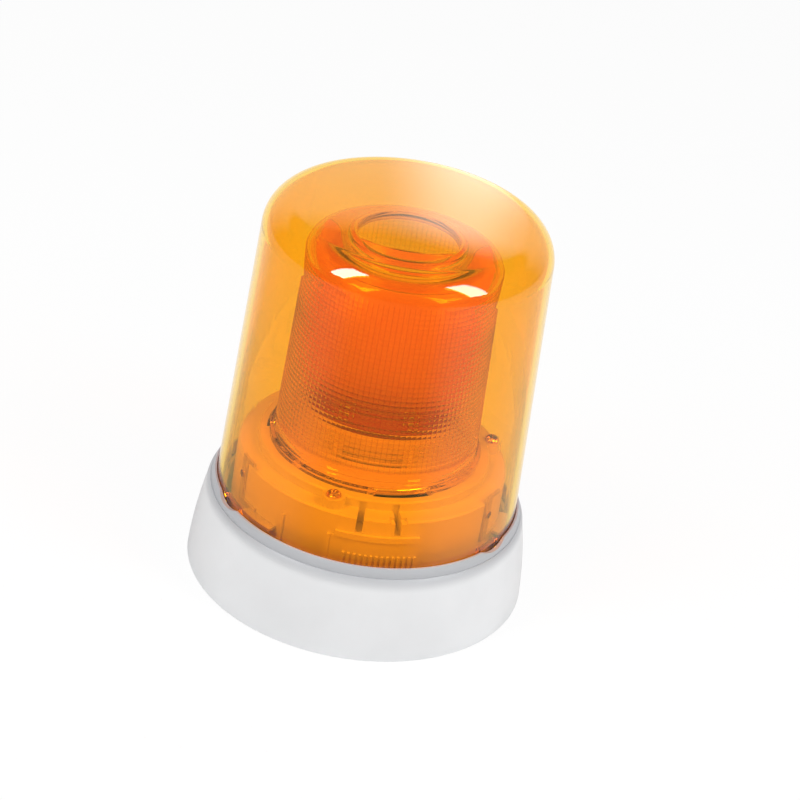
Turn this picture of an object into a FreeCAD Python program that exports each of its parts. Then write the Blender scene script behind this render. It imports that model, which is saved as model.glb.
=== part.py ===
"""Rotating beacon: a turning reflector and lamp under an amber dome on a die-cast base.

Millimetres. +Z is up, the origin is the centre of the foot, and the front is -Y.
A bearing is an angle in degrees about +Z, from the front towards +X.
"""
import FreeCAD, Part
import os
from math import acos, cos, degrees, hypot, pi, radians, sin, sqrt, tan

V = FreeCAD.Vector
ORIGIN, UP = V(0, 0, 0), V(0, 0, 1)

# ---- driving dimensions: radii, from the skirt outwards ----------------------------------
skirt_r = 66.7
dome_gap = 5.3               # between the skirt and the inside of the dome
dome_wall = 3.0
dome_fit = 0.35              # radial clearance of the dome in the collar
collar_rim_w = 0.9           # flat top of the collar round the dome
collar_t = 2.25              # metal behind the collar's fine step
shoulder_out = 2.1           # from that step to the shoulder
foot_flare = 5.0             # from the shoulder to the foot's edge
flank_bulge = 0.85           # how far the flank stands out from a straight cone

# ---- driving dimensions: radii, from the skirt inwards -----------------------------------
step_w = 9.2                 # width of the deck's outer step
screw_inset = 6.2            # deck screws and the pillars under them
plate_inset = 3.5            # from the plateau's edge to the gear plate's
plate_boss_inset = 4.0
flange_inset = 5.0           # from the plateau's edge to the optic drum's flange
flange_w = 2.1               # width of the drum's flange
optic_draft = 3.2            # taper of the drum's wall, in radius
mirror_gap = 0.8             # between the turning reflector and the drum
mirror_waist_in = 1.9        # how much the reflector narrows below its middle
mirror_throat_in = 6.7
carrier_inset = 10.2         # from the reflector's edge to the carrier's
carrier_flare = 9.5
mirror_foot_inset = 2.0
mirror_screw_inset = 8.4

# ---- driving dimensions: heights ---------------------------------------------------------
floor_z = 2.0                # underside of the floor, above the gasket
floor_t = 4.0
seat_z = 38.5                # ledge that carries the dome's seal
collar_h = 9.5               # from the ledge to the rim of the collar
step_drop = 5.0              # from the rim down to the fine step
step_h = 0.6
shoulder_drop = 9.4          # from the rim down to the shoulder
draft_start = 1.1            # from the rim up to where the dome's draft begins
dome_headroom = 14.5         # between the drum's ring and the inside of the dome
deck_rise = 31.1             # from the ledge to the deck
plateau_h = 5.0
skirt_h = 39.6
plate_drop = 17.6            # from the deck down to the gear plate
hub_rise = 16.9              # from the plateau to the top of the hub
post_above_hub = 2.5
carrier_h = 18.4
lamp_above_post = 2.5
light_centre = 16.0          # from the lamp's cap to its filament
mirror_above_optic = 1.0     # the reflector reaches into the drum's shoulder
throat_rise, waist_rise, full_rise = 11.0, 26.0, 43.0   # above the carrier

# ---- driving dimensions: the cast base ---------------------------------------------------
seat_t = 3.0
base_wall = 3.2
foot_rim_w = 4.7             # ring of metal that reaches the mounting surface
lip_gap = 0.7                # between the inner lip and the dome
lip_h = 4.1                  # upstand inside the seal
lip_t = 1.6
gusset_t = 3.0
scoop_r = 22.0               # finger scoop over each lug's way in
scoop_deep = 2.4

# ---- driving dimensions: the dome --------------------------------------------------------
dome_edge_r = 16.0           # rounding between wall and crown
dome_draft = 2.0             # degrees
dome_crown = 6.9             # slope of the crown at its edge, in degrees
lug_h = 4.0
lug_depth = 2.6
lug_half = 6.0               # half angle of a locking lug, in degrees
lug_count = 3
lug_bearing = 60.0
dome_turn = 20.0             # turn that locks the dome, in degrees
lug_lift = 0.6               # a lug's height above the inner lip
seal_h = 3.5
seal_t = 2.5
seal_groove = 0.5

# ---- driving dimensions: the chassis -----------------------------------------------------
skirt_wall = 2.2
deck_t = 2.4
deck_edge = 1.0              # chamfer round the deck
plateau_wall = 2.2
plateau_edge = 0.8
lobe_r = 5.6                 # rounded lobe of the plateau over a pillar
pillar_r = 3.5
well_gap = 0.3               # round a pillar in its well
hub_hole_gap = 1.45          # between the hub and the hole in the plateau
hub_rim = 2.0
screw_count = 3
screw_bearing = -14.0
deck_screw_grip = 12.0
vent_w = 3.2                 # two upright slots at the front
vent_h = 12.0
vent_drop = 1.5
vent_wall = 1.5
vent_bearings = (-0.4, 15.5)
cross_vent_w = 8.5
cross_vent_h = 1.6
rib_bearing = -33.0
rib_w = 1.3
rib_h = 14.0
rib_out = 1.2

# ---- driving dimensions: brackets over the dome's lugs -----------------------------------
bracket_t = 1.2
bracket_gap = 0.1
bracket_above_deck = 3.8
leg_half = 1.6               # half angle of the leg, in degrees
arm_h = 1.8
arm_span = 9.0               # degrees
strap_h = 3.0
strap_span = 13.0            # degrees
tongue_spare = 4.0           # how much less than the dome's turn the tongue spans, in degrees
tongue_t = 1.4
tongue_gap = 0.5             # between the tongue and the dome
lug_headroom = 0.3
lug_clear = 3.5              # from a lug's way in to the tongue, in degrees
rivet_r = 1.2
rivet_head = 1.5             # as a multiple of the rivet's radius
rivet_drop = 6.6             # from the deck

# ---- driving dimensions: the service cover -----------------------------------------------
cover_start, cover_end = -12.5, 25.0   # degrees
cover_drop = 8.6             # from the deck
cover_h = 20.0
cover_t = 0.9
cover_fit = 0.05
cover_bar_h = 3.0
cover_bar_out = 0.8
grip_ribs = 14
grip_start, grip_end = -5.0, 24.0      # degrees
grip_low, grip_h = 1.0, 8.0
grip_w = 1.1
grip_depth = 0.9

# ---- driving dimensions: mounting --------------------------------------------------------
bolt_inset = 19.7            # three M8 bolts on 130 mm
bolt_hole_r = 4.25
bolt_count = 3
bolt_bearing = 46.0
bolt_boss_r = 9.0
bolt_boss_h = 3.0
gasket_gap = 0.3
gasket_hole_gap = 0.5
cable_hole_r = 12.0
cable_r = 4.5                # bore of the grommet
grommet_flange = 2.5
grommet_snout = 7.0

# ---- driving dimensions: electrical parts on the floor -----------------------------------
block_w, block_d, block_h = 34.0, 17.0, 14.0
block_x = 8.0
block_inset = 24.5           # from the pillars' circle to the block's middle
block_step = 0.6             # height of the wide part, as a share of the block's
pole_count, pole_pitch = 3, 10.0
pole_well_r, pole_well_deep = 2.6, 6.0
wire_mouth_r, wire_mouth_z = 1.9, 5.0
board_w, board_d, board_t = 40.0, 26.0, 1.6
board_inset = 26.5           # from the pillars' circle to the board's middle
board_y = 4.0
board_lift = 6.0
board_post_r = 3.0
board_post_inset = 4.0
board_screw_grip = 4.0
choke_r, choke_wire_r = 5.6, 2.6
choke_x, choke_y = -9.0, 3.0           # from the board's middle
capacitor_x, capacitor_y = 9.0, -4.0
capacitor_w, capacitor_d, capacitor_h = 16.0, 8.0, 12.0
capacitor_edge = 1.0

# ---- driving dimensions: the optic drum --------------------------------------------------
optic_flange_t = 2.8
optic_wall = 2.2
optic_height = 99.4          # from the plateau to the start of the shoulder
optic_edge_r = 6.0
optic_hole_r = 24.5
optic_ring_w = 4.0
optic_ring_h = 2.0
optic_roof_rise = 3.6
bead_count = 2               # raised lines round the foot
bead_pitch = 2.4
bead_h = 0.5
slot_start, slot_end = 4.0, 36.0       # degrees
slot_count = 3
slot_out = 1.1               # how far a deck slot shows outside the flange
slot_in = 0.4
tab_t = 1.4
tab_drop = 4.2
tab_half = 2.2               # half angle of a tab, in degrees
tab_back = 3.4               # from the slot's end to the tab, in degrees
tab_hook = 4.0               # hook under the deck, in degrees
hook_gap = 0.3

# ---- driving dimensions: the gear train --------------------------------------------------
module = 0.8
pinion_teeth, idler_large_teeth = 12, 48
idler_small_teeth, rotor_teeth = 14, 70
addendum, dedendum = 0.75, 1.1   # in modules: stub teeth
backlash = 0.12              # at the pitch circle
pressure = radians(20)
idler_bearing = 166.0
motor_swing = 40.0           # bearing from the idler to the motor
plate_t = 2.0
plate_boss_r = 3.5
plate_boss_bearings = (46.0, 112.0, -74.0)
plate_screw_grip = 9.0
window_half = 9.0            # wiring window in the plate
window_in, window_out = 24.0, 9.0      # from the axis, and from the plate's edge
window_bearing = 10.0
gear_gap = 1.0               # between the plate and the large idler gear
large_gear_t = 4.0
small_gear_t = 9.0
gear_merge = 0.5             # how far the small gear starts inside the large one
rotor_gear_t = 5.0
rotor_gear_lift = 3.0        # above the large idler gear
rotor_gear_rim = 3.5
rotor_gear_web = 3.0
gear_hole_r, gear_hole_count, gear_hole_out = 3.2, 6, 8.2
gear_hole_bearing = 30.0
pinion_t = 5.0
running = 0.05               # radial clearance of a running fit
seated = 0.05                # radial clearance of a fixed fit
pressed = 0.01               # radial gap left in a press fit
loose = 0.1                  # radial clearance of a screw's hole

# ---- driving dimensions: post, hub and rotor ---------------------------------------------
post_r = 7.0
post_bore_r = 5.2
post_flange = 3.5
post_flange_t = 2.0
bush_t = 2.0
hub_wall = 2.5
lower_bush_h = 7.0
upper_bush_h = 7.5
washer_t = 1.0
washer_inset = 0.5
clip_gap = 0.4               # between the hub and the clip over it
clip_w, clip_t = 1.6, 0.8
carrier_gap = 2.0            # between the plateau and the turning carrier
carrier_rim_h = 3.0
carrier_wall = 2.0
carrier_ribs = 6
carrier_rib_t = 1.6
carrier_rib_bearing = 15.0
boss_wall = 2.0
shield_t = 1.0
shield_inset = 0.5
shield_hole_r = 10.5
focus_inset = 22.2           # the bowl is as deep as the drum lets it be
mirror_wall = 1.6
mirror_reach = 30.0          # from the lamp to the reflector's open front
mirror_foot_t = 2.2
mirror_foot_y = 5.0
mirror_screw_bearing = 142.0
mirror_screw_grip = 9.0
rotor_rest = 180.0           # turn of the rotor's reflector at rest: its back is to the front

# ---- driving dimensions: motor, lamp and small parts -------------------------------------
motor_r = 13.5
motor_h = 30.0
motor_edge = 1.2
motor_cap_h = 3.0
motor_cap_inset = 0.8
motor_boss_r = 4.0
motor_boss_h = 1.6
motor_screw_r = 8.5
motor_screw_grip = 4.0
motor_tab_x = 7.0
motor_tab_w, motor_tab_t, motor_tab_h = 2.8, 0.8, 4.0
shaft_r = 1.5
shaft_spare = 1.0
pin_head = 1.2
holder_r = 8.7
holder_wall = 1.0
holder_h = 10.0
holder_floor = 2.0
holder_spigot = 6.0
holder_slot_half, holder_slot_h = 1.3, 5.0
lamp_base_r = 7.5
lamp_base_h = 13.5
lamp_pin_r = 1.0
lamp_pin_out = 0.2
contact_r = 1.6
bulb_r = 9.6
bulb_neck_r = 6.6
bulb_h = 27.0
bulb_wall = 0.8
stem_h = 2.0                 # solid glass at the foot of the bulb
filament_w = 6.0
filament_r = 0.6
filament_leg_r = 0.35
bead_r, bead_rise = 0.9, 3.0
m4_r, m3_r, m25_r = 2.0, 1.5, 1.25
pan_head = 1.8               # head radius as a multiple of the thread radius


# ---- small tools -----------------------------------------------------------------------
def outline(start, *steps):
    """Face in the XZ plane. A step is a point for a line, or a pair for an arc (through, end)."""
    def at(p):
        return V(p[0], 0, p[1])

    edges, here = [], start
    for step in steps + (start,):
        if isinstance(step[0], tuple):
            edges.append(Part.Arc(at(here), at(step[0]), at(step[1])).toShape())
            here = step[1]
        elif hypot(step[0] - here[0], step[1] - here[1]) > 1e-6:
            edges.append(Part.LineSegment(at(here), at(step)).toShape())
            here = step
    return Part.Face(Part.Wire(edges))


def spun(start, *steps):
    """Solid of revolution about Z from an outline."""
    return outline(start, *steps).revolve(ORIGIN, UP, 360)


def rod(radius, low, high, x=0.0, y=0.0):
    return Part.makeCylinder(radius, high - low, V(x, y, low), UP)


def tube(outer_r, inner_r, low, high, x=0.0, y=0.0):
    return rod(outer_r, low, high, x, y).cut(rod(inner_r, low - 1, high + 1, x, y))


def block(x0, x1, y0, y1, low, high):
    return Part.makeBox(x1 - x0, y1 - y0, high - low, V(x0, y0, low))


def sector(outer_r, inner_r, low, high, half):
    """Piece of a ring, centred on the front."""
    ring = Part.makeCylinder(outer_r, high - low, V(0, 0, low), UP, 2 * half)
    ring = ring.cut(rod(inner_r, low - 1, high + 1)) if inner_r else ring
    return turned(ring, -90 - half)


def spoke(radius, inner_r, outer_r, z):
    """Rod along a radius, pointing to the front."""
    return Part.makeCylinder(radius, outer_r - inner_r, V(0, -inner_r, z), V(0, -1, 0))


def turned(shape, angle, x=0.0, y=0.0):
    shape = shape.copy()
    shape.rotate(V(x, y, 0), UP, angle)
    return shape


def around(shape, count, first=0.0):
    return [turned(shape, first + 360.0 * k / count) for k in range(count)]


def place(radius, bearing):
    return radius * sin(radians(bearing)), -radius * cos(radians(bearing))


def joined(first, *others):
    return first.fuse(list(others)).removeSplitter()


def pan_screw(thread_r, head_z, tip_z, x, y):
    """Pan-head screw with a cross recess, standing on head_z."""
    head_r, head_h = pan_head * thread_r, 1.2 * thread_r
    head = spun((0, 0), (head_r, 0), (head_r, 0.35 * head_h),
                ((0.75 * head_r, 0.85 * head_h), (0, head_h)))
    arm, deep = 0.55 * head_r, 0.55 * head_h
    for along, across in ((arm, 0.2 * thread_r), (0.2 * thread_r, arm)):
        head = head.cut(block(-along, along, -across, across, deep, head_h + 1))
    head.translate(V(x, y, head_z))
    return joined(head, rod(thread_r, tip_z, head_z, x, y))


def circlip(shaft, low, x=0.0, y=0.0):
    """Open retaining ring round a shaft."""
    outer = shaft + clip_w
    gap = block(x - 0.7 * shaft, x + 0.7 * shaft, y - outer - 1, y, low - 1, low + clip_t + 1)
    return tube(outer, shaft + seated, low, low + clip_t, x, y).cut(gap)


def centred_block(x, y, w, d, low, high):
    return block(x - w / 2, x + w / 2, y - d / 2, y + d / 2, low, high)


def save(name, *solids):
    shape = solids[0] if len(solids) == 1 else Part.makeCompound(list(solids))
    shape.exportStep("parts/%s.step" % name)


# ---- worked-out sizes ------------------------------------------------------------------
dome_r = skirt_r + dome_gap + dome_wall
dome_in_r = dome_r - dome_wall
collar_in_r = dome_r + dome_fit
groove_r = collar_in_r + collar_t
shoulder_r = groove_r + shoulder_out
foot_r = shoulder_r + foot_flare
bolt_circle_r = foot_r - bolt_inset
lip_r = dome_in_r - lip_gap
lip_in_r = lip_r - lip_t
skirt_in_r = skirt_r - skirt_wall
plateau_r = skirt_r - step_w
screw_pitch_r = skirt_r - screw_inset
plate_r = plateau_r - plate_inset
plate_boss_pitch_r = plate_r - plate_boss_inset
optic_foot_r = plateau_r - flange_inset
optic_wall_r = optic_foot_r - flange_w
optic_shoulder_r = optic_wall_r - optic_draft
optic_ring_r = optic_hole_r + optic_ring_w
mirror_r = optic_shoulder_r - optic_wall - mirror_gap
focal_length = mirror_r - focus_inset
carrier_top_r = mirror_r - carrier_inset
carrier_foot_r = carrier_top_r - carrier_flare
hub_in_r = post_r + running + bush_t
hub_r = hub_in_r + hub_wall
hub_hole_r = hub_r + hub_hole_gap
bracket_r = skirt_r + bracket_gap

floor_top = floor_z + floor_t
board_z = floor_top + board_lift
board_x = screw_pitch_r - board_inset
block_y = block_inset - screw_pitch_r
collar_z = seat_z + collar_h
groove_z = collar_z - step_drop
shoulder_z = collar_z - shoulder_drop
dome_line_z = collar_z + draft_start
dome_foot_z = seat_z + seal_h
lug_z = seat_z + lip_h + lug_lift
tongue_z = lug_z + lug_h + lug_headroom
deck_z = seat_z + deck_rise
plateau_z = deck_z + plateau_h
plateau_under = plateau_z - deck_t
skirt_low_z = deck_z - skirt_h
rivet_z = deck_z - rivet_drop
cover_high = deck_z - cover_drop
cover_low = cover_high - cover_h
plate_z = deck_z - plate_drop
plate_top = plate_z + plate_t
large_gear_z = plate_top + gear_gap
small_gear_z = large_gear_z + large_gear_t
rotor_gear_z = small_gear_z + rotor_gear_lift
hub_low_z = plate_top + washer_t + running
hub_top_z = plateau_z + hub_rise
post_top_z = hub_top_z + post_above_hub
carrier_z = plateau_z + carrier_gap
carrier_top_z = carrier_z + carrier_h
shield_top = carrier_top_z + shield_t
optic_top_z = plateau_z + optic_height
optic_ring_z = optic_top_z + optic_edge_r + optic_roof_rise
dome_top_z = optic_ring_z + optic_ring_h + dome_headroom + dome_wall
lamp_base_z = post_top_z + lamp_above_post
bulb_low = lamp_base_z + lamp_base_h
lamp_z = bulb_low + light_centre

idler_to_rotor = module * (idler_small_teeth + rotor_teeth) / 2
motor_to_idler = module * (pinion_teeth + idler_large_teeth) / 2
idler_x, idler_y = place(idler_to_rotor, idler_bearing)
swing = radians(motor_swing)
motor_pitch_r = idler_to_rotor * cos(swing) + sqrt(motor_to_idler**2 - (idler_to_rotor * sin(swing))**2)
motor_x, motor_y = place(motor_pitch_r, idler_bearing + motor_swing)
mirror_screws = [place(carrier_top_r - mirror_screw_inset, rotor_rest + s * mirror_screw_bearing)
                 for s in (-1, 1)]
board_points = [(board_x + s * (board_w / 2 - board_post_inset),
                 board_y + s * (board_d / 2 - board_post_inset)) for s in (-1, 1)]
motor_tab_points = [(motor_x + s * motor_tab_x, motor_y) for s in (-1, 1)]


# ---- the cast base ---------------------------------------------------------------------
def base_housing():
    """Hollow casting: flared flank, collar round the dome, seal ledge, floor and pillars."""
    mid_r = (foot_r + shoulder_r) / 2 + flank_bulge
    body = spun(
        (foot_r, 0),
        ((mid_r, shoulder_z / 2), (shoulder_r, shoulder_z)),
        ((shoulder_r - 0.45, (shoulder_z + groove_z) / 2 + 0.2), (groove_r + 0.5, groove_z)),
        (groove_r, groove_z), (groove_r, groove_z + step_h),
        ((groove_r - 0.45, (groove_z + collar_z) / 2 + 0.5), (collar_in_r + collar_rim_w, collar_z)),
        (collar_in_r, collar_z), (collar_in_r, seat_z), (lip_r, seat_z), (lip_r, seat_z + lip_h),
        (lip_in_r, seat_z + lip_h), (lip_in_r, seat_z - seat_t),
        (shoulder_r - base_wall, seat_z - seat_t),
        ((mid_r - base_wall, shoulder_z / 2), (foot_r - base_wall, floor_top)),
        (cable_hole_r, floor_top), (cable_hole_r, floor_z),
        (foot_r - foot_rim_w, floor_z), (foot_r - foot_rim_w, 0))
    pillar = rod(pillar_r, floor_top - 1, plateau_under, 0, -screw_pitch_r)
    boss = rod(bolt_boss_r, floor_top - 1, floor_top + bolt_boss_h, 0, -bolt_circle_r)
    post = rod(board_post_r, floor_top - 1, board_z)
    posts = [post.translated(V(x, y, 0)) for x, y in board_points]
    body = joined(body, *around(pillar, screw_count, screw_bearing),
                  *around(gusset(), screw_count, screw_bearing),
                  *around(boss, bolt_count, bolt_bearing), *posts)
    bolt_hole = rod(bolt_hole_r, -1, floor_top + bolt_boss_h + 1, 0, -bolt_circle_r)
    screw_hole = rod(m4_r + seated, plateau_under - deck_screw_grip - 2, plateau_under + 1, 0, -screw_pitch_r)
    scoop = spoke(scoop_r, collar_in_r - 1.5, groove_r + 0.2, collar_z - scoop_deep + scoop_r)
    tools = around(bolt_hole, bolt_count, bolt_bearing) + around(screw_hole, screw_count, screw_bearing)
    tools += around(scoop, lug_count, lug_bearing)
    tools += [rod(m25_r + seated, board_z - board_screw_grip - 1, board_z + 1, x, y)
              for x, y in board_points]
    return body.cut(tools)


def gusset():
    """Web from a pillar to the flank, with its outer edge inside the flank's wall."""
    lean = foot_flare / shoulder_z
    reach = foot_r - base_wall / 2
    low, high = floor_top - 1, skirt_low_z - 3
    web = outline((screw_pitch_r, low), (reach - lean * low, low), (reach - lean * high, high),
                  (screw_pitch_r, high))
    web = web.extrude(V(0, gusset_t, 0))
    web.translate(V(0, -gusset_t / 2, 0))
    return turned(web, -90)


def mounting_gasket():
    ring = tube(foot_r - foot_rim_w - gasket_gap, cable_hole_r + grommet_flange + 1, 0, floor_z)
    hole = rod(bolt_hole_r + gasket_hole_gap, -1, floor_z + 1, 0, -bolt_circle_r)
    return ring.cut(around(hole, bolt_count, bolt_bearing))


def cable_grommet():
    """Rubber bush in the floor: a flange each side and a tapered snout inside."""
    neck, flange = cable_hole_r - seated, cable_hole_r + grommet_flange
    return spun((cable_r, 0.3), (flange, 0.3), (flange, floor_z), (neck, floor_z), (neck, floor_top),
                (flange, floor_top), (flange - 1, floor_top + 2), (cable_r + 3, floor_top + 3),
                (cable_r + 1.2, floor_top + grommet_snout), (cable_r, floor_top + grommet_snout))


# ---- electrical parts on the floor -----------------------------------------------------
def poles():
    return [block_x + pole_pitch * (k - (pole_count - 1) / 2) for k in range(pole_count)]


def terminal_block():
    """Moulded three-way block with a screw well over each pole and a wire mouth each side."""
    low, high = floor_top, floor_top + block_h
    body = centred_block(block_x, block_y, block_w, block_d, low, low + block_h * block_step)
    body = joined(body, centred_block(block_x, block_y, block_w, block_d / 2, low + 1, high))
    for x in poles():
        body = body.cut(rod(pole_well_r, high - pole_well_deep, high + 1, x, block_y))
        start = V(x, block_y - block_d / 2 - 1, low + wire_mouth_z)
        body = body.cut(Part.makeCylinder(wire_mouth_r, block_d + 2, start, V(0, 1, 0)))
    return body


def terminal_screws():
    low = floor_top + block_h - pole_well_deep
    return [pan_screw(m25_r, low + 1, low + seated, x, block_y) for x in poles()]


def filter_board():
    slab = centred_block(board_x, board_y, board_w, board_d, board_z, board_z + board_t)
    return slab.cut([rod(m25_r + loose, board_z - 1, board_z + board_t + 1, x, y) for x, y in board_points])


def board_screws():
    return [pan_screw(m25_r, board_z + board_t, board_z - board_screw_grip, x, y) for x, y in board_points]


def filter_choke():
    """Wound toroid lying on the board."""
    middle = V(board_x + choke_x, board_y + choke_y, board_z + board_t + choke_wire_r)
    return Part.makeTorus(choke_r, choke_wire_r, middle, UP)


def filter_capacitor():
    low = board_z + board_t
    case = centred_block(board_x + capacitor_x, board_y + capacitor_y, capacitor_w, capacitor_d,
                         low, low + capacitor_h)
    upright = [e for e in case.Edges if abs(e.Vertexes[0].Z - e.Vertexes[1].Z) > 1]
    return case.makeFillet(capacitor_edge, upright)


# ---- the chassis -----------------------------------------------------------------------
def chassis_drum():
    """Moulded drum: an open skirt, a stepped deck with a lobe over each pillar, and bosses."""
    hub_rim_z = plateau_under - hub_rim
    body = spun(
        (skirt_r, skirt_low_z), (skirt_r, deck_z - deck_edge), (skirt_r - deck_edge, deck_z),
        (plateau_r, deck_z), (plateau_r, plateau_z - plateau_edge), (plateau_r - plateau_edge, plateau_z),
        (hub_hole_r, plateau_z), (hub_hole_r, hub_rim_z), (hub_hole_r + hub_rim, hub_rim_z),
        (hub_hole_r + hub_rim, plateau_under), (plateau_r - plateau_wall, plateau_under),
        (plateau_r - plateau_wall, deck_z - deck_t), (skirt_in_r, deck_z - deck_t),
        (skirt_in_r, skirt_low_z))
    lobe = rod(lobe_r, deck_z - 0.5, plateau_z, 0, -screw_pitch_r + plateau_edge)
    well = rod(pillar_r + well_gap, skirt_low_z, plateau_under, 0, -screw_pitch_r)
    hole = rod(m4_r + 2 * loose, plateau_under - 1, plateau_z + 1, 0, -screw_pitch_r)
    boss = rod(plate_boss_r, plate_top, plateau_under + 0.5, 0, -plate_boss_pitch_r)
    boss_hole = rod(m3_r + loose, plate_top - 1, plate_top + plate_screw_grip, 0, -plate_boss_pitch_r)
    rib_low = collar_z - 3.9
    rib = block(-rib_w / 2, rib_w / 2, -skirt_r - rib_out, -skirt_r + 1, rib_low, rib_low + rib_h)
    vent_top, vent_in = plateau_z - vent_drop, plateau_edge - plateau_r
    vent_low, pocket_w = vent_top - vent_h, vent_w + 2 * vent_wall
    vent = block(-vent_w / 2, vent_w / 2, -skirt_r - 1, vent_in, vent_low, vent_top)
    pocket = block(-pocket_w / 2, pocket_w / 2, -skirt_in_r - 0.5, vent_in + vent_wall,
                   vent_low - vent_wall, deck_z - deck_t + 0.5)
    cross_vent = block(-cross_vent_w / 2, cross_vent_w / 2, -skirt_r - 1, -skirt_in_r + 1.5,
                       deck_z - cross_vent_h, deck_z + 1)
    slot = sector(optic_foot_r + slot_out, optic_wall_r - optic_wall - slot_in,
                  plateau_under - 1, plateau_z + 1, (slot_end - slot_start) / 2)
    rivet = spoke(rivet_r + seated, skirt_in_r - 1, skirt_r + 1, rivet_z)
    body = joined(body, turned(rib, rib_bearing), *around(lobe, screw_count, screw_bearing),
                  *[turned(boss, b) for b in plate_boss_bearings],
                  *[turned(pocket, b) for b in vent_bearings])
    tools = around(well, screw_count, screw_bearing) + around(hole, screw_count, screw_bearing)
    tools += around(slot, slot_count, (slot_start + slot_end) / 2)
    tools += around(rivet, lug_count, lug_bearing)
    tools += [turned(boss_hole, b) for b in plate_boss_bearings]
    tools += [turned(vent, b) for b in vent_bearings] + [turned(cross_vent, vent_bearings[1])]
    return body.cut(tools)


def chassis_screws():
    screw = pan_screw(m4_r, plateau_z, plateau_under - deck_screw_grip, 0, -screw_pitch_r)
    return around(screw, screw_count, screw_bearing)


def dome_brackets():
    """Steel brackets on the skirt: an arm at the top, a leg, and a tongue over a locked lug."""
    top = deck_z + bracket_above_deck
    outer = bracket_r + bracket_t
    span = dome_turn - tongue_spare
    leg = sector(outer, bracket_r, tongue_z, top, leg_half)
    arm = turned(sector(outer, bracket_r, top - arm_h, top, arm_span / 2), arm_span / 2 - leg_half)
    tongue = turned(sector(dome_in_r - tongue_gap, bracket_r, tongue_z, tongue_z + tongue_t, span / 2),
                    lug_half + lug_clear - leg_half + span / 2)
    strap = turned(sector(outer, bracket_r, tongue_z, tongue_z + strap_h, strap_span / 2),
                   strap_span / 2 - leg_half)
    piece = joined(leg, arm, strap, tongue)
    piece = piece.cut(spoke(rivet_r + seated, bracket_r - 1, outer + 1, rivet_z))
    return around(piece, lug_count, lug_bearing)


def bracket_rivets():
    outer, head_r = bracket_r + bracket_t, rivet_r * rivet_head
    head_h = rivet_r / 2
    rivet = joined(spoke(rivet_r, skirt_in_r - head_h, outer + head_h / 2, rivet_z),
                   spoke(head_r, outer, outer + head_h, rivet_z),
                   spoke(head_r, skirt_in_r - 2 * head_h, skirt_in_r - head_h / 2, rivet_z))
    return around(rivet, lug_count, lug_bearing)


def service_cover():
    """Curved snap-in cover on the front of the skirt, with a top bar and a row of grip ribs."""
    inner = skirt_r + cover_fit
    outer = inner + cover_t
    mid, half = (cover_start + cover_end) / 2, (cover_end - cover_start) / 2
    bar_low = cover_high - cover_bar_h
    plate = turned(sector(outer, inner, cover_low, bar_low, half), mid)
    bar = turned(sector(outer + cover_bar_out, inner, bar_low, cover_high, half - 1.5), mid + 1.5)
    side = turned(sector(outer + 0.6, inner, cover_low, bar_low, 0.6), cover_start + 0.6)
    pitch = (grip_end - grip_start) / (grip_ribs - 1)
    rib = block(-grip_w / 2, grip_w / 2, -outer - grip_depth, -inner - 0.3,
                cover_low + grip_low, cover_low + grip_low + grip_h)
    return joined(plate, bar, side, *[turned(rib, grip_start + pitch * k) for k in range(grip_ribs)])


# ---- the gear train --------------------------------------------------------------------
def gear_blank(teeth, low, high, phase, x=0.0, y=0.0, steps=2):
    """Spur gear with involute flanks. A tooth's centre line lies at the bearing phase.

    At radius r a tooth's half angle is its half angle on the pitch circle, plus the involute of
    the pressure angle, minus the involute of the angle whose cosine is base radius over r.
    """
    pitch_r = module * teeth / 2
    base_r = pitch_r * cos(pressure)
    root_r, tip_r = pitch_r - dedendum * module, pitch_r + addendum * module
    half_pitch = pi / (2 * teeth) - backlash / (4 * pitch_r)

    def half_angle(r):
        lean = acos(min(1.0, base_r / max(r, base_r)))
        return half_pitch + (tan(pressure) - pressure) - (tan(lean) - lean)

    first = max(root_r, base_r)
    radii = [root_r] + [first + (tip_r - first) * k / steps for k in range(0 if first > root_r else 1,
                                                                         steps + 1)]
    points = []
    for tooth in range(teeth):
        centre = radians(phase - 90) + 2 * pi * tooth / teeth
        flank = [(r, half_angle(r)) for r in radii]
        for r, a in [(r, -a) for r, a in flank] + [(r, a) for r, a in reversed(flank)]:
            points.append(V(x + r * cos(centre + a), y + r * sin(centre + a), low))
    return Part.Face(Part.makePolygon(points + points[:1])).extrude(V(0, 0, high - low))


def idler_gear():
    """Compound gear. A large gap faces the pinion's tooth, a small tooth faces the rotor gear."""
    phase_small = idler_bearing + 180
    to_motor = degrees_from(idler_x, idler_y, motor_x, motor_y)
    large = gear_blank(idler_large_teeth, large_gear_z, small_gear_z,
                       to_motor + 180.0 / idler_large_teeth, idler_x, idler_y, 1)
    small = gear_blank(idler_small_teeth, small_gear_z - gear_merge, small_gear_z + small_gear_t,
                       phase_small, idler_x, idler_y)
    bore = rod(shaft_r + running, plate_z, plateau_z, idler_x, idler_y)
    return joined(large, small).cut(bore)


def degrees_from(x0, y0, x1, y1):
    """Bearing of the second point from the first."""
    run = hypot(x1 - x0, y1 - y0)
    angle = degrees(acos(-(y1 - y0) / run))
    return angle if x1 >= x0 else -angle


def motor_pinion():
    to_idler = degrees_from(motor_x, motor_y, idler_x, idler_y)
    low = large_gear_z - gear_gap / 2
    gear = gear_blank(pinion_teeth, low, low + pinion_t, to_idler, motor_x, motor_y)
    return gear.cut(rod(shaft_r + pressed, plate_z, plateau_z, motor_x, motor_y))


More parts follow.
